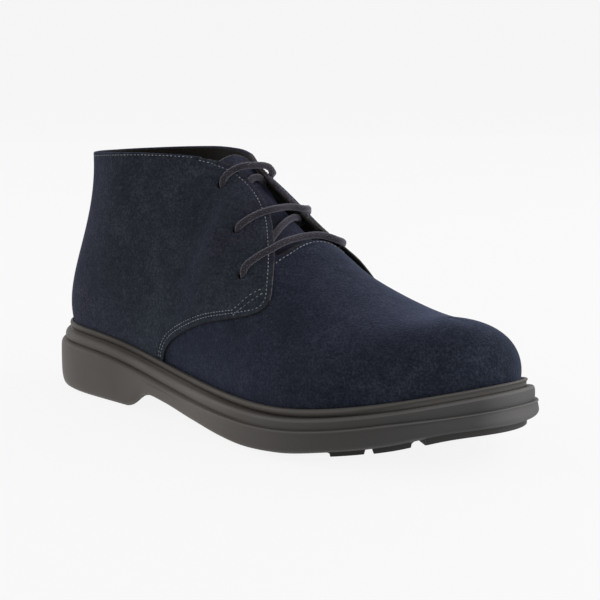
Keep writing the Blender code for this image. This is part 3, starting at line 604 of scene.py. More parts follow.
def shell_normal(u, v, side):
    u, v = np.broadcast_arrays(np.asarray(u, float), np.asarray(v, float))
    inner_u = np.clip(u, NUDGE, 1 - NUDGE)
    inner_v = np.minimum(v, 1 - NUDGE)
    along = shell(inner_u + NUDGE, inner_v, side) - shell(inner_u - NUDGE, inner_v, side)
    up = shell(inner_u, inner_v + NUDGE, side) - shell(inner_u, inner_v - NUDGE, side)
    normal = unit(-side * np.cross(along, up))
    centre = (u <= 0) | (u >= 1) | ((v >= 1) & (SECTION_OF["top_half"](u) <= 0))
    normal[..., 1] = np.where(centre, 0, normal[..., 1])
    return unit(normal)


def layer(u, v, side, out):
    """The shell moved outward by out."""
    return shell(u, v, side) + shell_normal(u, v, side) * np.asarray(out)[..., None]


def creased(u, v, side):
    """Height of the soft creases and hollows of the leather at these places."""
    place = shell(u, v, side)
    height = np.zeros(place.shape[:-1])
    for u0, v0, u1, v1, _, width, depth in (crease for crease in CREASES if crease[4] == side):
        start, end = shell(u0, v0, side), shell(u1, v1, side)
        way, length = unit(end - start), np.linalg.norm(end - start)
        along = (place - start) @ way
        beside = np.linalg.norm(place - start - along[..., None] * way, axis=-1)
        past = np.maximum(np.abs(along - length / 2) - length / 2, 0)
        height += depth * np.exp(-(beside / width)**2 - (past / width)**2)
    return height


def leather(u, v, side, out):
    """Point of the creased leather, out above the vamp's face."""
    return layer(u, v, side, out + creased(u, v, side))


def quarter_uv(row, share):
    """Place of the leather at this row, this share of the way from the back to the front edge."""
    v = EDGE_OF["back_v"](row) * (1 - share) + EDGE_OF["v"](row) * share
    return EDGE_OF["u"](row) * share, v


def quarter_point(row, share, side, out):
    """Point of a quarter, with the lift of the medial tab."""
    row, share = np.broadcast_arrays(np.asarray(row, float), np.asarray(share, float))
    u, v = quarter_uv(row, share)
    lift = np.clip((share - TAB_START) / (1 - TAB_START), 0, 1)**2
    return leather(u, v, side, out + lift * FLARE_OF(row) * TAB_LIFT * (side == MEDIAL))


def quarter_width(row, side):
    """Distance that a whole share of each row stands for, measured square to the front edge."""
    step = 0.01
    gap = (quarter_point(row, 1.0, side, 0.0) - quarter_point(row, 1.0 - step, side, 0.0)) / step
    edge = unit(quarter_point(row + step, 1.0, side, 0.0) - quarter_point(row - step, 1.0, side, 0.0))
    return np.linalg.norm(gap - edge * np.sum(gap * edge, axis=-1, keepdims=True), axis=-1)


def collar_rise(share, side):
    """Distance that a whole row stands for, just below the collar."""
    gap = quarter_point(TOP_ROW, share, side, 0.0) - quarter_point(TOP_ROW - 0.5, share, side, 0.0)
    return np.linalg.norm(gap, axis=-1) * 2


def vamp_uv(row, share, lap=1):
    """Place on the vamp at this row, this share of the way from its back edge to the toe's middle.

    The back edge is the throat, and below that it laps under the quarter; without lap, it ends at
    the quarter's front edge."""
    below = row < CROSSING_ROW
    u, v = (np.where(below, EDGE_OF[name](row), THROAT_OF[name](row)) for name in ("u", "v"))
    u = u + lap * np.interp(row, THROAT_SHIFT_ROWS, THROAT_SHIFT)
    u = u - lap * np.interp(row, VAMP_LAP_ROWS, VAMP_LAP)
    toe_v = np.interp(row, THROAT_ROWS, THROAT["toe_v"])
    toe_v = np.where(below, THROAT["toe_v"][0] * row / CROSSING_ROW, toe_v)
    return u * (1 - share) + share, v * (1 - share) + toe_v * share


def trough(distance):
    """Depth of the leather this far from a line of stitches."""
    return STITCH_SINK * np.exp(-(distance / STITCH_TROUGH)**2)


# ------------------------------------------------------------------ meshes

def shown(name, data):
    """New object in the scene."""
    thing = bpy.data.objects.new(name, data)
    bpy.context.scene.collection.objects.link(thing)
    return thing


def piece(name, points, faces, materials, slots=None, uv=None, weld=0.0, sharp=None):
    """One object from points and faces: points within weld are joined and faces turned outward."""
    mesh = bpy.data.meshes.new(name)
    mesh.from_pydata(np.asarray(points).tolist(), [], [tuple(face) for face in faces])
    for material in materials:
        mesh.materials.append(material)
    if slots is not None:
        mesh.polygons.foreach_set("material_index", np.asarray(slots, np.int32))
    if uv is not None:
        mesh.uv_layers.new(name="run").data.foreach_set("uv", np.asarray(uv, np.float32).ravel())
    body = bmesh.new()
    body.from_mesh(mesh)
    if weld:
        bmesh.ops.remove_doubles(body, verts=body.verts, dist=weld)
    bmesh.ops.dissolve_degenerate(body, edges=body.edges, dist=WELD / 10)
    bmesh.ops.recalc_face_normals(body, faces=body.faces)
    body.to_mesh(mesh)
    body.free()
    mesh.shade_smooth()
    if sharp:
        mesh.set_sharp_from_angle(angle=np.radians(sharp))
    return shown(name, mesh)


def quads(index):
    """Faces of a grid of vertex numbers."""
    corners = (index[:-1, :-1], index[:-1, 1:], index[1:, 1:], index[1:, :-1])
    return np.stack(corners, axis=-1).reshape(-1, 4)


def grid_faces(grid):
    """Quads of a grid of points, each given by its corner points."""
    return [
        (low[k], low[k + 1], high[k + 1], high[k])
        for low, high in zip(grid[:-1], grid[1:]) for k in range(len(low) - 1)
    ]


def from_corners(name, faces, materials, sharp=None, slots=None):
    """One object from loose faces given by their corner points."""
    stops = np.cumsum([0] + [len(face) for face in faces])
    numbered = [range(a, b) for a, b in zip(stops[:-1], stops[1:])]
    return piece(name, np.concatenate(faces), numbered, materials, slots, weld=WELD, sharp=sharp)


def sheet(name, outer, inner, rim, materials, inner_slot, folded=False, weld=0.0):
    """A closed sheet between two grids of points, with a rounded rim.

    rim gives the rim's bulge, squareness and slot from its points' row and column numbers. A folded
    sheet has no rim along its last column."""
    rows, columns = outer.shape[:2]
    index = np.arange(rows * columns).reshape(rows, columns)
    down, over = np.arange(rows - 1), np.arange(columns - 1)
    i = np.concatenate([0 * over, down, 0 * over + rows - 1, rows - 1 - down])
    j = np.concatenate([over, 0 * down + columns - 1, columns - 1 - over, 0 * down])
    bulge, power, rim_slots = (np.broadcast_to(each, i.shape) for each in rim(i, j))
    edge, outside, inside = index[i, j], outer[i, j], inner[i, j]
    half, middle = (outside - inside) / 2, (outside + inside) / 2
    outward = outside - outer[np.clip(i, 1, rows - 2), np.clip(j, 1, columns - 2)]
    for other in (unit(half), unit(np.roll(outside, -1, 0) - np.roll(outside, 1, 0))):
        outward = outward - other * np.sum(outward * other, axis=1, keepdims=True)
    outward, power = unit(outward) * bulge[:, None], power[:, None]
    points, rings = [outer.reshape(-1, 3), inner.reshape(-1, 3)], [edge]
    for angle in np.linspace(0, np.pi, RIM_STEPS + 1)[1:-1]:
        across, out = np.cos(angle), np.sin(angle)
        rings.append(np.arange(len(edge)) + sum(map(len, points)))
        points.append(middle + half * np.sign(across) * np.abs(across)**power + outward * out**power)
    rings = np.array([*rings, edge + index.size])
    rim_faces = quads(np.concatenate([rings, rings[:, :1]], axis=1))
    rim_slots = np.tile(rim_slots, RIM_STEPS)
    if folded:
        last = j == columns - 1
        keep = np.tile(~(last & np.roll(last, -1)), RIM_STEPS)
        rim_faces, rim_slots = rim_faces[keep], rim_slots[keep]
    face = quads(index)
    faces = np.concatenate([face, face[:, ::-1] + index.size, rim_faces])
    slots = np.concatenate([0 * face[:, 0], 0 * face[:, 0] + inner_slot, rim_slots])
    return piece(name, np.concatenate(points), faces, materials, slots, weld=weld)


def circle(across, up, sides):
    """Points of a unit circle in the plane of across and up."""
    angle = np.linspace(0, 2 * np.pi, sides + 1)[:-1, None]
    return np.cos(angle) * across + np.sin(angle) * up


def tube_rings(path, radius, sides):
    """Rings round a path, swept without twist; radius fits an array of [ring, corner]."""
    heading = unit(np.gradient(path, axis=0))
    across = unit(np.cross(heading[0], (0.0, 0.0, 1.0)))
    radius = np.broadcast_to(radius, (len(path), sides))
    rings = []
    for point, ahead, size in zip(path, heading, radius):
        across = unit(across - ahead * (across @ ahead))
        rings.append(point + circle(across, np.cross(ahead, across), sides) * size[:, None])
    return np.concatenate(rings)


def tube_faces(count, sides, start=0):
    """Side faces and end caps of a tube."""
    index = start + np.arange(count * sides).reshape(count, sides)
    index = np.concatenate([index, index[:, :1]], axis=1)
    return [*map(tuple, quads(index)), tuple(index[0, :-1][::-1]), tuple(index[-1, :-1])]


# ------------------------------------------------- quarters, vamp, lining and tongue

def make_quarter(side):
    """One quarter: suede outside, a folded collar, a cut front edge, and punched eyelets."""
    share = spread(*QUARTER_SHARES)
    rows = np.concatenate([[-1], spread(*QUARTER_ROWS)])
    row = np.maximum(rows, 0)[:, None]
    over_vamp = np.clip((row - CROSSING_ROW) / LEAVE_ROWS, 0, 1)
    from_edge = (1 - share) * quarter_width(row[:, 0], side)[:, None]
    from_collar = (TOP_ROW - row) * collar_rise(share, side)
    second = trough(from_edge - SECOND_STITCH) * (row < DOUBLE_UP_TO)
    sunk = np.maximum(trough(from_edge - EDGE_STITCH) + second, trough(from_collar - COLLAR_STITCH))
    outer = quarter_point(row, share, side, QUARTER_STEP - sunk)
    inner = quarter_point(row, share, side, LAP_GAP * (1 - over_vamp) - QUARTER_BACKING * over_vamp)
    for grid in (outer, inner):
        grid[0, :, 2] -= TUCK

    def rim(i, j):
        top, seam = i == len(rows) - 1, j == 0
        fold = (QUARTER_STEP + QUARTER_BACKING) / 2
        bulge = np.where(top, fold, np.where(seam, SEAM_ROUND, CUT_ROUND))
        cut = (j == len(share) - 1) & ~top
        # Below PALE_EDGE_FROM the front edge takes the dark lining: painted shadow along the seam over the
        # vamp.
        slot = np.where(cut, np.where(rows[i] > PALE_EDGE_FROM, 1, 2), 0)
        return bulge, np.where(top | seam, 1.0, CUT_SQUARE), slot

    name = "quarter_lateral" if side == LATERAL else "quarter_medial"
    thing = sheet(name, outer, inner, rim, [QUARTER_SUEDE, CUT_SUEDE, LINING], 2)
    punch_eyelets(thing, side)
    return thing


def punch_eyelets(thing, side):
    """Cuts the round eyelets through a quarter."""
    points, faces = [], []
    for u, v in (eyelet[2:] for eyelet in EYELETS if eyelet[1] == side):
        axis = shell_normal(u, v, side)
        across = unit(np.cross(axis, (0.0, 0.0, 1.0)))
        rim = circle(across, np.cross(axis, across), EYELET_SIDES) * EYELET_DIAMETER / 2
        faces += tube_faces(2, EYELET_SIDES, len(points))
        for reach in (-CUTTER_REACH, CUTTER_REACH):
            points.extend(shell(u, v, side) + rim + axis * reach)
    # The cutter's faces carry the dark lining slot, so the walls of the holes are painted dark: painted shade
    # inside the eyelets.
    cutter = piece("eyelet_cutter", points, faces, thing.data.materials, np.full(len(faces), 2))
    punch = thing.modifiers.new("eyelets", "BOOLEAN")
    punch.solver = "EXACT"
    punch.object = cutter
    graph = bpy.context.evaluated_depsgraph_get()
    cut = bpy.data.meshes.new_from_object(thing.evaluated_get(graph))
    thing.modifiers.clear()
    thing.data = cut
    bpy.data.objects.remove(cutter)


def make_vamp():
    """The vamp: one sheet over the toe, lapping under both quarters."""
    row = np.concatenate([[0], spread(*VAMP_ROWS)])
    row, way = np.meshgrid(row, spread(*VAMP_SHARES), indexing="ij")
    throat = np.exp(-((way - THROAT_STITCH) / THROAT_TROUGH)**2)
    throat = np.clip((row - CROSSING_ROW) / FADE_ROWS, 0, 1) * throat
    grids = []
    for depth in (STITCH_SINK * throat, VAMP_BACKING):
        lateral, medial = (leather(*vamp_uv(row, way), side, -depth) for side in SIDES)
        grids.append(np.concatenate([lateral, medial[-2::-1]]))
        grids[-1][[0, -1], :, 2] -= TUCK
    materials = [VAMP_SUEDE, CUT_SUEDE, LINING]
    return sheet("vamp", *grids, lambda i, j: (CUT_ROUND, CUT_SQUARE, 0), materials, 2, True, WELD / 2)


def make_lining():
    """Thin dark lining behind the quarters and the vamp, paler where it shows at the facings."""
    row = np.linspace(0, TOP_ROW, LINING_ROWS)
    split = np.searchsorted(row, CROSSING_ROW)
    row[split] = CROSSING_ROW
    throat_row = np.linspace(CROSSING_ROW, RIDGE_ROW, LINING_THROAT_ROWS)
    throat_row = np.concatenate([row[:split], throat_row])[:, None]
    row[-1] -= COLLAR_DROP
    share = spread(*LINING_SHARES)
    places = quarter_uv(row[:, None], share), vamp_uv(throat_row, share, lap=0)
    facing = np.zeros((len(row) - 1, len(share) - 1), int)
    facing[split:, -1] = 1
    faces, slots = [], []
    for side in SIDES:
        quarter, vamp = (
            [leather(*place, side, -depth) for depth in (QUARTER_BACKING + LINING_GAP, VAMP_WALL)]
            for place in places
        )
        for grid in quarter:
            faces += grid_faces(grid)
            slots += facing.ravel().tolist()
        faces += grid_faces([grid[split:, -1] for grid in quarter])
        slots += [1] * (len(faces) - len(slots))
        rims = [[grid[-1] for grid in quarter], [grid[0] for grid in quarter]]
        rims += [[grid[split:, 0] for grid in vamp], [grid[0] for grid in vamp]]
        for grid in (*vamp, *rims):
            faces += grid_faces(grid)
        slots += [0] * (len(faces) - len(slots))
    return from_corners("lining", faces, [LINING, FACING_LINING], slots=slots)


def make_tongue():
    """Suede tongue: smooth arches across a smooth middle line, with a rounded rim."""
    at = np.arange(len(TONGUE["x"]))
    t = spread(*TONGUE_STEPS)[:, None]
    line = {name: smooth_curve(at, column)(t) for name, column in TONGUE.items()}
    across = np.linspace(-1, 1, TONGUE_COLUMNS)
    bow = np.abs(across)**TONGUE_ARCH
    outer = np.stack([
        line["x"] + line["forward"] * bow,
        line["aside"] * bow + line["half_width"] * across,
        line["z"] - line["sag"] * bow,
    ], axis=-1)
    normal = unit(np.cross(np.gradient(outer, axis=0), np.gradient(outer, axis=1)))
    inner = outer - normal * np.sign(normal[..., 2:3]) * TONGUE_WALL
    materials = [TONGUE_SUEDE, CUT_SUEDE]
    return sheet("tongue_suede", outer, inner, lambda i, j: (TONGUE_ROUND, TONGUE_SQUARE, 1), materials, 0)


# -------------------------------------------------------- lace and stitches

def lace_point(u, v, side, out):
    if side:
        return layer(u, v, side, out)
    return sum(layer(u, v, each, out) for each in SIDES) / 2


def lace_route():
    """Points of the lace's centre line, from its first hidden end to its last."""
    places = {eyelet[:2]: eyelet[2:] for eyelet in EYELETS}

    def through(pair, side):
        u, v = places[pair, side]
        return [(u + du, v + dv, side, out) for du, dv, out in THROUGH]

    route = list(FIRST_RUN)
    for pair, link in ((2, LOW_LINK), (1, HIGH_LINK), (0, LAST_RUN)):
        route += [*through(pair, MEDIAL), *BARS[pair], *through(pair, LATERAL)[::-1], *link]
    return np.array([lace_point(*row) for row in route])


def make_lace():
    """One round braided cord: strands stand out as a herringbone of small ridges."""
    route = lace_route()
    run = run_of(route)
    at = np.arange(0, run[-1], LACE_STEP)
    path = np.stack([smooth_curve(run, column)(at) for column in route.T], axis=-1)
    length = run_of(path)
    run = np.arange(0, length[-1], LACE_STEP)
    path = read_off(run, length, path)
    turn = np.linspace(0, 2 * np.pi, LACE_SIDES + 1)[:-1] * BRAID_STRANDS / 2
    weave = np.cos(run[:, None] * 2 * np.pi / BRAID_PITCH) * np.cos(turn)
    points = tube_rings(path, LACE_DIAMETER / 2 * (1 - BRAID_RELIEF + BRAID_RELIEF * weave), LACE_SIDES)
    around = np.arange(LACE_SIDES + 1) / LACE_SIDES
    i, k = np.meshgrid(np.arange(len(path) - 1), np.arange(LACE_SIDES), indexing="ij")
    corners = ((i, k), (i, k + 1), (i + 1, k + 1), (i + 1, k))
    uv = np.stack([np.stack([around[b], run[a] / BRAID_PITCH], axis=-1) for a, b in corners], axis=2)
    uv = np.concatenate([uv.reshape(-1, 2), np.zeros((2 * LACE_SIDES, 2))])
    return piece("braided_lace", points, tube_faces(len(path), LACE_SIDES), [BRAID], uv=uv)


def quarter_line(row, share, side):
    """Line in a quarter's face, with its normals."""
    line = quarter_point(row, share, side, QUARTER_STEP - STITCH_SINK)
    return line, shell_normal(*quarter_uv(row, share), side)


def collar_line(side):
    """Line below the collar's fold."""
    share = np.linspace(*COLLAR_STITCH_SHARES, LINE_POINTS)
    return quarter_line(TOP_ROW - COLLAR_STITCH / collar_rise(share, side), share, side)


def edge_line(side, first, last, inset):
    """Line along a quarter's front edge, this far inside it."""
    row = np.linspace(first, last, EDGE_LINE_POINTS)
    share = np.maximum(1 - inset / quarter_width(row, side), EDGE_STITCH_REACH)
    return quarter_line(row, share, side)


def free_line(places, side, out):
    """Smooth line through (u, v) places, with its normals."""
    knots = np.arange(len(places))
    at = np.linspace(0, knots[-1], LINE_POINTS)
    u, v = (smooth_curve(knots, column)(at) for column in np.array(places).T)
    return leather(u, v, side, out), shell_normal(u, v, side)


def make_stitching():
    """Sewn thread: short rounded stitches along every seam."""
    lines = []
    for side in SIDES:
        lines += [
            collar_line(side),
            edge_line(side, *FACING_STITCH_ROWS, EDGE_STITCH),
            edge_line(side, FACING_STITCH_ROWS[0], DOUBLE_UP_TO, SECOND_STITCH),
            *(free_line(places, side, QUARTER_STEP) for places in TAB_STITCHES),
            free_line(THROAT_STITCHES, side, -STITCH_SINK),
        ]
    points, faces = [], []
    for line, normal in lines:
        run = run_of(line)
        number = int(run[-1] / STITCH_PITCH)
        for start in np.arange(number) * run[-1] / number + (STITCH_PITCH - STITCH_LENGTH) / 2:
            at = start + np.linspace(0, STITCH_LENGTH, len(STITCH_ARCH))
            out = unit(read_off(at, run, normal))
            spot = read_off(at, run, line) + out * np.array(STITCH_ARCH)[:, None] * THREAD
            faces += tube_faces(len(spot), THREAD_SIDES, len(points))
            points.extend(tube_rings(spot, THREAD / 2 * np.array(STITCH_GIRTH)[:, None], THREAD_SIDES))
    return piece("stitching", points, faces, [THREAD_LIGHT])


# -------------------------------------------------------------------- sole

def cornered(rows, closed=False):
    """Rows of a rib table with their corners cut off three times, so that ribs come out rounded."""
    rows = np.array(rows, float)
    for _ in range(3):
        after = np.roll(rows, -1, axis=0)
        cut = np.stack([CORNER * rows + (1 - CORNER) * after, (1 - CORNER) * rows + CORNER * after], axis=1)
        cut = cut.reshape(-1, rows.shape[1])
        rows = cut if closed else np.vstack([rows[:1], cut[:-2], rows[-1:]])
    return rows


def rib_rings(stations, side, first, last, start, end, closed=False):
    """Rings along one side, a rib row each: the first table turns into the last from x = start to end."""
    blend = eased(widest(stations, side)[:, 0], start, end)
    return np.array([
        rib_point(stations, side, *(before[:, None] * (1 - blend) + after[:, None] * blend))
        for before, after in zip(cornered(first, closed), cornered(last, closed))
    ])


def ladder(name, rings, across, materials, sharp, strips=None):
    """Closed solid from rings[side] = points [ring, station]: down one side, across, up the other."""
    loop = np.array([*rings[LATERAL], *across, *rings[MEDIAL][::-1], rings[LATERAL][0]])
    slots = None if strips is None else np.repeat(strips, loop.shape[1] - 1)
    return from_corners(name, grid_faces(loop), materials, sharp, slots)


def lipped(count, ribs, lip):
    """Slots of a ladder's strips, this many: 1 along the lips of both sides, which take the painted
    highlight, and 0 elsewhere.
    """
    strips = np.zeros(count, int)
    rows = cornered(ribs)
    middle = (rows[1:] + rows[:-1]) / 2
    lip_highlight = (middle[:, 0] > lip[0]) & (middle[:, 1] == 1) & (middle[:, 2] > lip[1])
    strips[:len(lip_highlight)][lip_highlight] = 1
    strips[-1 - len(lip_highlight):-1][lip_highlight[::-1]] = 1
    return strips


def make_midsole():
    """Filler and middle band, with its lip painted lighter as painted highlight."""
    stations = np.linspace(0, 1, SOLE_STATIONS)
    ribs = HEEL_MIDSOLE_RIBS, TOE_MIDSOLE_RIBS, CRISP_FROM, CRISP_TO
    rings = {side: rib_rings(stations, side, *ribs) for side in SIDES}
    strips = lipped(2 * len(rings[LATERAL]), TOE_MIDSOLE_RIBS, MIDSOLE_LIP)
    return ladder("midsole_rubber", rings, (), [RUBBER, LIP_HIGHLIGHT_RUBBER], sharp=50, strips=strips)


def make_welt():
    """Bead round the upper's foot: its inner rows follow the step out under the quarters."""
    stations = np.linspace(0, 1, SOLE_STATIONS)
    step = QUARTER_STEP * (1 - np.clip((stations - EDGE["u"][0]) / WELT_FADE, 0, 1))
    near = (STEPPED_FROM - cornered(SIDE_WELT_RIBS, closed=True)[:, 0]) / STEPPED_OVER
    near = np.clip(near, 0, 1)[:, None, None]
    ribs = SIDE_WELT_RIBS, TOE_WELT_RIBS, SHALLOW_FROM, SHALLOW_TO
    faces = []
    for side in SIDES:
        rings = rib_rings(stations, side, *ribs, closed=True)
        rings[..., :2] += away(stations, side) * near * step[:, None]
        faces += grid_faces(np.concatenate([rings, rings[:1]]))
    return from_corners("welt_bead", faces, [BEAD_RUBBER], sharp=60)


def arched(row, edges):
    """A row of the underside, lifted in front of the heel's breast, which curves back in the middle.

    edges[side] is the lower edge of the side wall at the same stations."""
    centre = (edges[LATERAL][:, 1] + edges[MEDIAL][:, 1]) / 2
    half = (edges[MEDIAL][:, 1] - edges[LATERAL][:, 1]) / 2
    across = (row[:, 1] - centre) / np.maximum(half, NUDGE)
    set_back = BREAST_DEPTH * np.maximum(1 - across**2, 0)
    height = UNDERSIDE_OF(np.minimum(row[:, 0] + set_back, ARCH_TOP))
    row[:, 2] = np.where(row[:, 0] < ARCH_TOP, np.maximum(row[:, 2], height), row[:, 2])
    return row


def at_lugs(x, column, reach, value):
    """value, but this column of LUGS where x lies within reach of a lug."""
    for start, end, each in zip(LUGS["start"], LUGS["end"], LUGS[column]):
        value = np.where((x > start - reach) & (x < end + reach), each, value)
    return value


def make_outsole():
    """Lower band, heel block and tread lugs; the tread has its own darker rubber."""
    starts, ends = LUGS["start"], LUGS["end"]
    bends = starts - LUG_SLOPE, starts, ends, ends + LUG_SLOPE, np.linspace(*BREAST), np.linspace(*NOTCHED)
    stations = np.concatenate([np.linspace(0, 1, SOLE_STATIONS), station_at(np.concatenate(bends))])
    stations = np.unique(np.round(stations, STATION_DIGITS))
    ribs = HEEL_OUTSOLE_RIBS, TOE_OUTSOLE_RIBS, CRISP_FROM, CRISP_TO
    rings = {side: rib_rings(stations, side, *ribs) for side in SIDES}
    band = len(rings[LATERAL])
    wall = {side: rings[side][-1] for side in SIDES}
    x = widest(stations, LATERAL)[:, 0]
    inset = at_lugs(x, "inset", 2 * LUG_SLOPE, np.interp(x, (starts + ends) / 2, LUGS["inset"]))
    low = {side: rib_point(stations, side, -inset - LUG_SLOPE, 0, 0) for side in SIDES}
    front = {side: rib_point(stations, side, -LUGS["inset"][-1], 0, 0) for side in SIDES}

    def trodden(share):
        """Row of the tread at this share of the way across; the front lugs' edge places the channels."""
        row = low[LATERAL] * (1 - share) + low[MEDIAL] * share
        side = LATERAL if share < 0.5 else MEDIAL
        slanted, edge = (line[:, 0] - side * LUG_SLANT * line[:, 1] for line in (row, front[side]))
        height = at_lugs(np.interp(slanted, edge, front[side][:, 0]), "height", LUG_SLOPE / 2, 0 * x)
        row[:, 2] = np.maximum(row[:, 2] - height, 0)
        return arched(row, wall)

    for side in SIDES:
        top = rib_point(stations, side, -inset, 0, 0)
        turned = [wall[side] * (1 - share) + top * share for share in UNDER_EDGE_SHARES]
        inner = [arched(row, wall) for row in turned]
        rings[side] = np.concatenate([rings[side], inner, [trodden(float(side == MEDIAL))]])
    edge_shares = np.linspace(0, TREAD_EDGE_SHARE, TREAD_EDGE_COLUMNS)[1:]
    middle_shares = np.linspace(TREAD_EDGE_SHARE, 1 - TREAD_EDGE_SHARE, TREAD_COLUMNS)[1:-1]
    across = [trodden(share) for share in (*edge_shares, *middle_shares, *(1 - edge_shares[::-1]))]
    # The lips of the lower band take the lighter rubber as painted highlight.
    strips = lipped(2 * len(rings[LATERAL]) + len(across), TOE_OUTSOLE_RIBS, OUTSOLE_LIP)
    strips[band - 1:-band] = 2
    materials = [RUBBER, LIP_HIGHLIGHT_RUBBER, TREAD]
    return ladder("outsole_rubber", rings, across, materials, sharp=35, strips=strips)


def make_insole():
    """Footbed with a soft rounded edge, dished a little across."""
    stations = np.linspace(0, 1, FOOTBED_STATIONS)
    edge = INSET + VAMP_WALL + INSOLE_CLEARANCE
    rings = {
        side: [rib_point(stations, side, -edge - inward, 1, height - TUCK) for inward, height in FOOTBED_EDGE]
        for side in SIDES
    }
    across = []
    for t in np.linspace(0, 1, FOOTBED_COLUMNS)[1:-1]:
        across.append(rings[LATERAL][-1] * (1 - t) + rings[MEDIAL][-1] * t)
        across[-1][:, 2] -= INSOLE_DISH * 4 * t * (1 - t)
    return ladder("footbed", rings, across, [FOOTBED], sharp=60)


# --------------------------------------------------------------- materials

class Shader:
    """A Principled material and short ways to add its nodes."""

    def __init__(self, name, roughness, specular, sheen=0.0, sheen_roughness=0.5, sheen_tint=(1, 1, 1)):
        self.material = bpy.data.materials.new(name)
        self.material.use_nodes = True
        self.tree = self.material.node_tree
        self.surface = self.tree.nodes["Principled BSDF"]
        self.feed(self.surface, {
            "Roughness": roughness, "Specular IOR Level": specular, "Sheen Weight": sheen,
            "Sheen Roughness": sheen_roughness, "Sheen Tint": sheen_tint,
        })
        self.place = self.add("TexCoord", {}).outputs["Object"]

    def feed(self, node, inputs):
        """Sets each input of a node to a number or colour, or links it to an output."""
        for name, value in inputs.items():
            socket = node.inputs[name]
            if isinstance(value, bpy.types.NodeSocket):
                self.tree.links.new(value, socket)
            else:
                socket.default_value = (*value, 1) if socket.type == "RGBA" else value

    def add(self, kind, inputs, **settings):
        node = self.tree.nodes.new("ShaderNode" + kind)
        for name, value in settings.items():
            setattr(node, name, value)
        self.feed(node, inputs)
        return node

    def noise(self, scale, detail=3.0, roughness=0.6, distortion=0.0, stretch=None):
        place = self.place
        if stretch:
            place = self.add("Mapping", {"Vector": place, "Scale": stretch}).outputs["Vector"]
        inputs = {"Vector": place, "Scale": scale, "Detail": detail, "Roughness": roughness}
        return self.add("TexNoise", {**inputs, "Distortion": distortion}).outputs["Fac"]

    def math(self, operation, first, second):
        return self.add("Math", {0: first, 1: second}, operation=operation).outputs[0]

    def blend(self, *parts):
        """Sum of (value, weight) pairs."""
        total = 0.0
        for value, weight in parts:
            total = self.math("ADD", total, self.math("MULTIPLY", value, weight))
        return total

    def ramp(self, value, *stops):
        """Colour from (position, colour) stops."""
        node = self.add("ValToRGB", {"Fac": value})
        ramp = node.color_ramp
        while len(ramp.elements) < len(stops):
            ramp.elements.new(0.5)
        for element, (position, colour) in zip(ramp.elements, stops):
            element.position = position
            element.color = (*colour, 1)
        return node.outputs["Color"]

    def tinted(self, colour, tint):
        """Product of two colours."""
        both = {0: 1.0, 6: colour, 7: tint}
        return self.add("Mix", both, data_type="RGBA", blend_type="MULTIPLY").outputs[2]

    def spread(self, value, low, high):
        """The value's middle range drawn out to 0..1."""
        return self.add("MapRange", {"Value": value, "From Min": low, "From Max": high}).outputs["Result"]

    def grain(self, low, high, *noise):
        """Noise with its middle range drawn out to 0..1."""
        return self.spread(self.noise(*noise), low, high)

    def bump(self, height, distance, strength):
        node = self.add("Bump", {"Distance": distance, "Strength": strength, "Height": height})
        self.feed(self.surface, {"Normal": node.outputs["Normal"]})

    def colour(self, socket):
        self.feed(self.surface, {"Base Color": socket})


def suede(name, dark, middle, light, sheen=0.16):
    """Brushed suede: soft patches of nap, mottling and short fibres."""
    shader = Shader(name, 0.95, 0.05, sheen, 0.42, (0.48, 0.57, 0.95))
    patches = shader.grain(0.3, 0.7, 26, 3, 0.55, 0.8)
    mottle = shader.grain(0.3, 0.7, 190, 4, 0.65, 0.4, (1.0, 1.0, 1.3))
    fibre = shader.grain(0.32, 0.68, 900, 2, 0.85, 0.2)
    nap = shader.blend((patches, 0.24), (mottle, 0.24), (fibre, 0.52))
    dye = shader.grain(0.36, 0.64, 13, 2, 0.5, 0.5)
    tint = shader.ramp(dye, (0.0, (1.08, 0.95, 1.03)), (0.5, (1.0, 1.0, 1.0)), (1.0, (0.97, 1.0, 0.97)))
    shader.colour(shader.tinted(shader.ramp(nap, (0.15, dark), (0.5, middle), (0.88, light)), tint))
    shader.bump(shader.blend((mottle, 0.35), (fibre, 0.65)), 0.00035, 0.55)
    return shader.material


def rubber(name, *tones):
    """Moulded rubber, with its tones spaced from heel to toe, and a fine matt grain. The tones are partly the
    rubber's own colour and partly painted shade and highlight along the length.
    """
    shader = Shader(name, 0.4, 0.2)
    split = shader.add("SeparateXYZ", {0: shader.place})
    along = shader.spread(split.outputs["X"], HEEL_BACK, HEEL_BACK + SOLE_LENGTH)
    base = shader.ramp(along, *zip(RUBBER_PLACES, tones))
    cloud = shader.grain(0.3, 0.7, 34, 3, 0.6)
    grain = shader.grain(0.3, 0.7, 2400, 2, 0.6)
    tone = shader.blend((cloud, 0.6), (grain, 0.4))
    shader.colour(shader.tinted(base, shader.ramp(tone, (0.1, (0.82, 0.82, 0.82)), (0.9, (1.0, 1.0, 1.0)))))
    shader.feed(shader.surface, {"Roughness": shader.spread(tone, -1.3, 1.9)})
    shader.bump(grain, 0.00006, 0.5)
    return shader.material


def fabric(name, dark, light, scale=700):
    """Close dark fabric."""
    shader = Shader(name, 0.9, 0.1, 0.04, 0.5)
    weave = shader.grain(0.3, 0.7, scale, 3, 0.6)
    cloud = shader.noise(40, 2)
    shader.colour(shader.ramp(shader.blend((weave, 0.6), (cloud, 0.4)), (0.2, dark), (0.8, light)))
    shader.bump(weave, 0.0003, 0.5)
    return shader.material


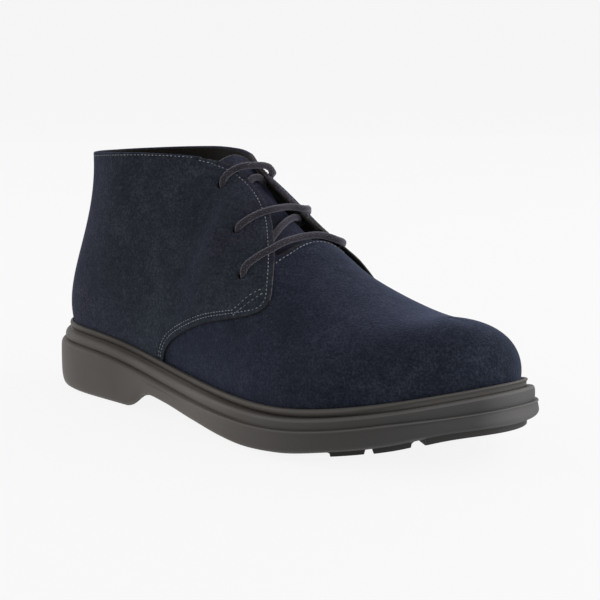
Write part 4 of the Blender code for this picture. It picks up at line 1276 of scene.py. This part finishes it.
def braid(name, dark, middle, light):
    """Braided cord: each strand painted lighter on its crown and darker between strands, as painted highlight
    and painted shade, with flecks.
    """
    shader = Shader(name, 0.85, 0.2, 0.3, 0.5, (0.8, 0.78, 0.95))
    run = shader.add("UVMap", {}, uv_map="run").outputs["UV"]
    split = shader.add("SeparateXYZ", {0: run})
    around = shader.math("MULTIPLY", split.outputs["X"], BRAID_STRANDS * np.pi)
    along = shader.math("MULTIPLY", split.outputs["Y"], 2 * np.pi)
    one, other = (shader.math("COSINE", shader.math(way, along, around), 0.0) for way in ("ADD", "SUBTRACT"))
    # Painted highlight on each strand's crown and painted shade between, following the cord's ridges.
    painted_crown_light = shader.spread(shader.math("ADD", one, other), -0.6, 2.0)
    fleck = shader.grain(0.35, 0.65, 1500, 2, 0.7)
    tone = shader.blend((painted_crown_light, 0.5), (fleck, 0.5))
    shader.colour(shader.ramp(tone, (0.25, dark), (0.65, middle), (0.95, light)))
    shader.bump(tone, 0.0002, 0.6)
    return shader.material


QUARTER_SUEDE = suede(
    "quarter_suede", (0.0061, 0.0080, 0.0110), (0.0146, 0.0172, 0.0229), (0.0332, 0.0370, 0.0468), 0.11
)
VAMP_SUEDE = suede(
    "vamp_suede", (0.0048, 0.0062, 0.0104), (0.0112, 0.0132, 0.0208), (0.0260, 0.0295, 0.0445), 0.145
)
TONGUE_SUEDE = suede(
    "tongue_suede", (0.0064, 0.0072, 0.0110), (0.0140, 0.0152, 0.0225), (0.0310, 0.0325, 0.0460)
)
CUT_SUEDE = suede("cut_suede_edge", (0.018, 0.018, 0.019), (0.042, 0.040, 0.041), (0.100, 0.096, 0.096), 0.06)
LINING = fabric("dark_lining", (0.0034, 0.0028, 0.0023), (0.0090, 0.0074, 0.0060))
FACING_LINING = fabric("facing_lining", (0.008, 0.0072, 0.0064), (0.024, 0.0215, 0.019), 1200)
FOOTBED = fabric("dark_footbed", (0.030, 0.028, 0.027), (0.080, 0.076, 0.074), 420)
BRAID = braid("lace_braid", (0.0036, 0.0029, 0.0042), (0.0150, 0.0125, 0.0166), (0.082, 0.073, 0.088))
# Shares of the sole's length where the tones of a rubber stand, partly own colour and partly painted shade
RUBBER_PLACES = (0.0, 0.15, 0.27, 0.40, 0.50, 0.62, 0.84, 0.975, 1.0)
# Sole rubber: browner at the heel and greyer at the toe, with painted shade darkening the ball and forefoot
# and painted highlight on the heel's back, the waist and the toe's tip.
RUBBER = rubber(
    "sole_rubber", (0.100, 0.088, 0.078), (0.074, 0.065, 0.057), (0.062, 0.054, 0.048), (0.088, 0.078, 0.070),
    (0.098, 0.087, 0.078), (0.060, 0.053, 0.048), (0.034, 0.032, 0.031), (0.033, 0.032, 0.032),
    (0.080, 0.077, 0.077),
)
# Lighter rubber for the band lips: painted highlight where the lips catch the light.
LIP_HIGHLIGHT_RUBBER = rubber(
    "lip_highlight_rubber", (0.100, 0.088, 0.078), (0.074, 0.065, 0.057), (0.058, 0.050, 0.045), (0.080, 0.070, 0.064),
    (0.098, 0.087, 0.078), (0.074, 0.066, 0.060), (0.062, 0.059, 0.056), (0.068, 0.066, 0.064),
    (0.092, 0.089, 0.088),
)
BEAD_RUBBER = rubber(
    "bead_rubber", (0.070, 0.061, 0.054), (0.052, 0.045, 0.039), (0.032, 0.027, 0.023), (0.045, 0.039, 0.034),
    (0.060, 0.053, 0.047), (0.058, 0.051, 0.045), (0.060, 0.055, 0.050), (0.062, 0.058, 0.054),
    (0.082, 0.078, 0.075),
)
TREAD = rubber(
    "tread_rubber", *[(0.013, 0.012, 0.011)] * 6, (0.010, 0.010, 0.009), (0.024, 0.023, 0.022),
    (0.060, 0.057, 0.055),
)
THREAD_LIGHT = fabric("grey_thread", (0.05, 0.056, 0.066), (0.27, 0.28, 0.31), 520)


# --------------------------------------------------------- light and camera

def aim(thing, place, target, roll=0.0):
    """Puts a light or camera at a place, looking at a target."""
    back = unit(np.array(place) - target)
    right = unit(np.cross((0.0, 0.0, 1.0), back))
    up = np.cross(back, right)
    basis = np.eye(4)
    basis[:3, 0] = right * np.cos(roll) + up * np.sin(roll)
    basis[:3, 1] = up * np.cos(roll) - right * np.sin(roll)
    basis[:3, 2], basis[:3, 3] = back, place
    thing.matrix_world = Matrix(basis.tolist())


def add_camera():
    data = bpy.data.cameras.new("camera")
    data.sensor_width = SENSOR
    data.lens = LENS
    data.clip_start = 0.01
    azimuth, elevation = np.radians(CAMERA_AZIMUTH), np.radians(CAMERA_ELEVATION)
    level = np.cos(elevation)
    back = np.array([np.sin(azimuth) * level, -np.cos(azimuth) * level, np.sin(elevation)])
    thing = shown("camera", data)
    aim(thing, CAMERA_TARGET + back * CAMERA_DISTANCE, CAMERA_TARGET, np.radians(CAMERA_ROLL))
    bpy.context.scene.camera = thing


def add_stage():
    """Pale floor that curves up into a pale wall all round."""
    bend = np.linspace(0, np.pi / 2, 12)
    radius = np.append(FLOOR_RADIUS + FLOOR_BEND * np.sin(bend), FLOOR_RADIUS + FLOOR_BEND)
    height = np.append(FLOOR_BEND - FLOOR_BEND * np.cos(bend), WALL_TOP) + FLOOR_DROP
    turns = np.linspace(0, 2 * np.pi, 65)
    grid = [[(r * np.cos(t), r * np.sin(t), z) for t in turns] for r, z in zip(radius, height)]
    shader = Shader("pale_floor", 0.9, 0.1)
    shader.colour(shader.ramp(shader.noise(3, 2), (0.0, (0.04, 0.04, 0.04)), (1.0, (0.045, 0.045, 0.045))))
    shader.feed(shader.surface, {"Emission Color": (1, 1, 1), "Emission Strength": FLOOR_GLOW})
    from_corners("floor", grid_faces(grid) + [tuple(grid[0][:-1])], [shader.material])


def add_lights():
    world = bpy.data.worlds.new("studio")
    world.use_nodes = True
    background = world.node_tree.nodes["Background"]
    background.inputs["Color"].default_value = (1, 1, 1, 1)
    background.inputs["Strength"].default_value = WORLD_GLOW
    bpy.context.scene.world = world
    for name, place, size, power in LIGHTS:
        data = bpy.data.lights.new(name, "AREA")
        data.shape = "RECTANGLE"
        data.size, data.size_y = size
        data.energy = power
        aim(shown(name, data), place, LIGHTS_TARGET)


# -------------------------------------------------------------------- build

bpy.context.scene.view_settings.view_transform = "Standard"
for thing, node, slot in (
    (make_quarter(LATERAL), "upper", "upper"),
    (make_quarter(MEDIAL), "upper", "upper"),
    (make_vamp(), "upper", "upper"),
    (make_lining(), "upper", "insole"),
    (make_tongue(), "tongue", "tongue"),
    (make_lace(), "lace", "lace"),
    (make_stitching(), None, "lace"),
    (make_insole(), "insole", "insole"),
    (make_welt(), "welt", "welt"),
    (make_midsole(), "midsole", "midsole"),
    (make_outsole(), "outsole", "outsole"),
):
    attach(thing, "root")
    if node:
        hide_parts(node)
add_stage()
add_lights()
add_camera()
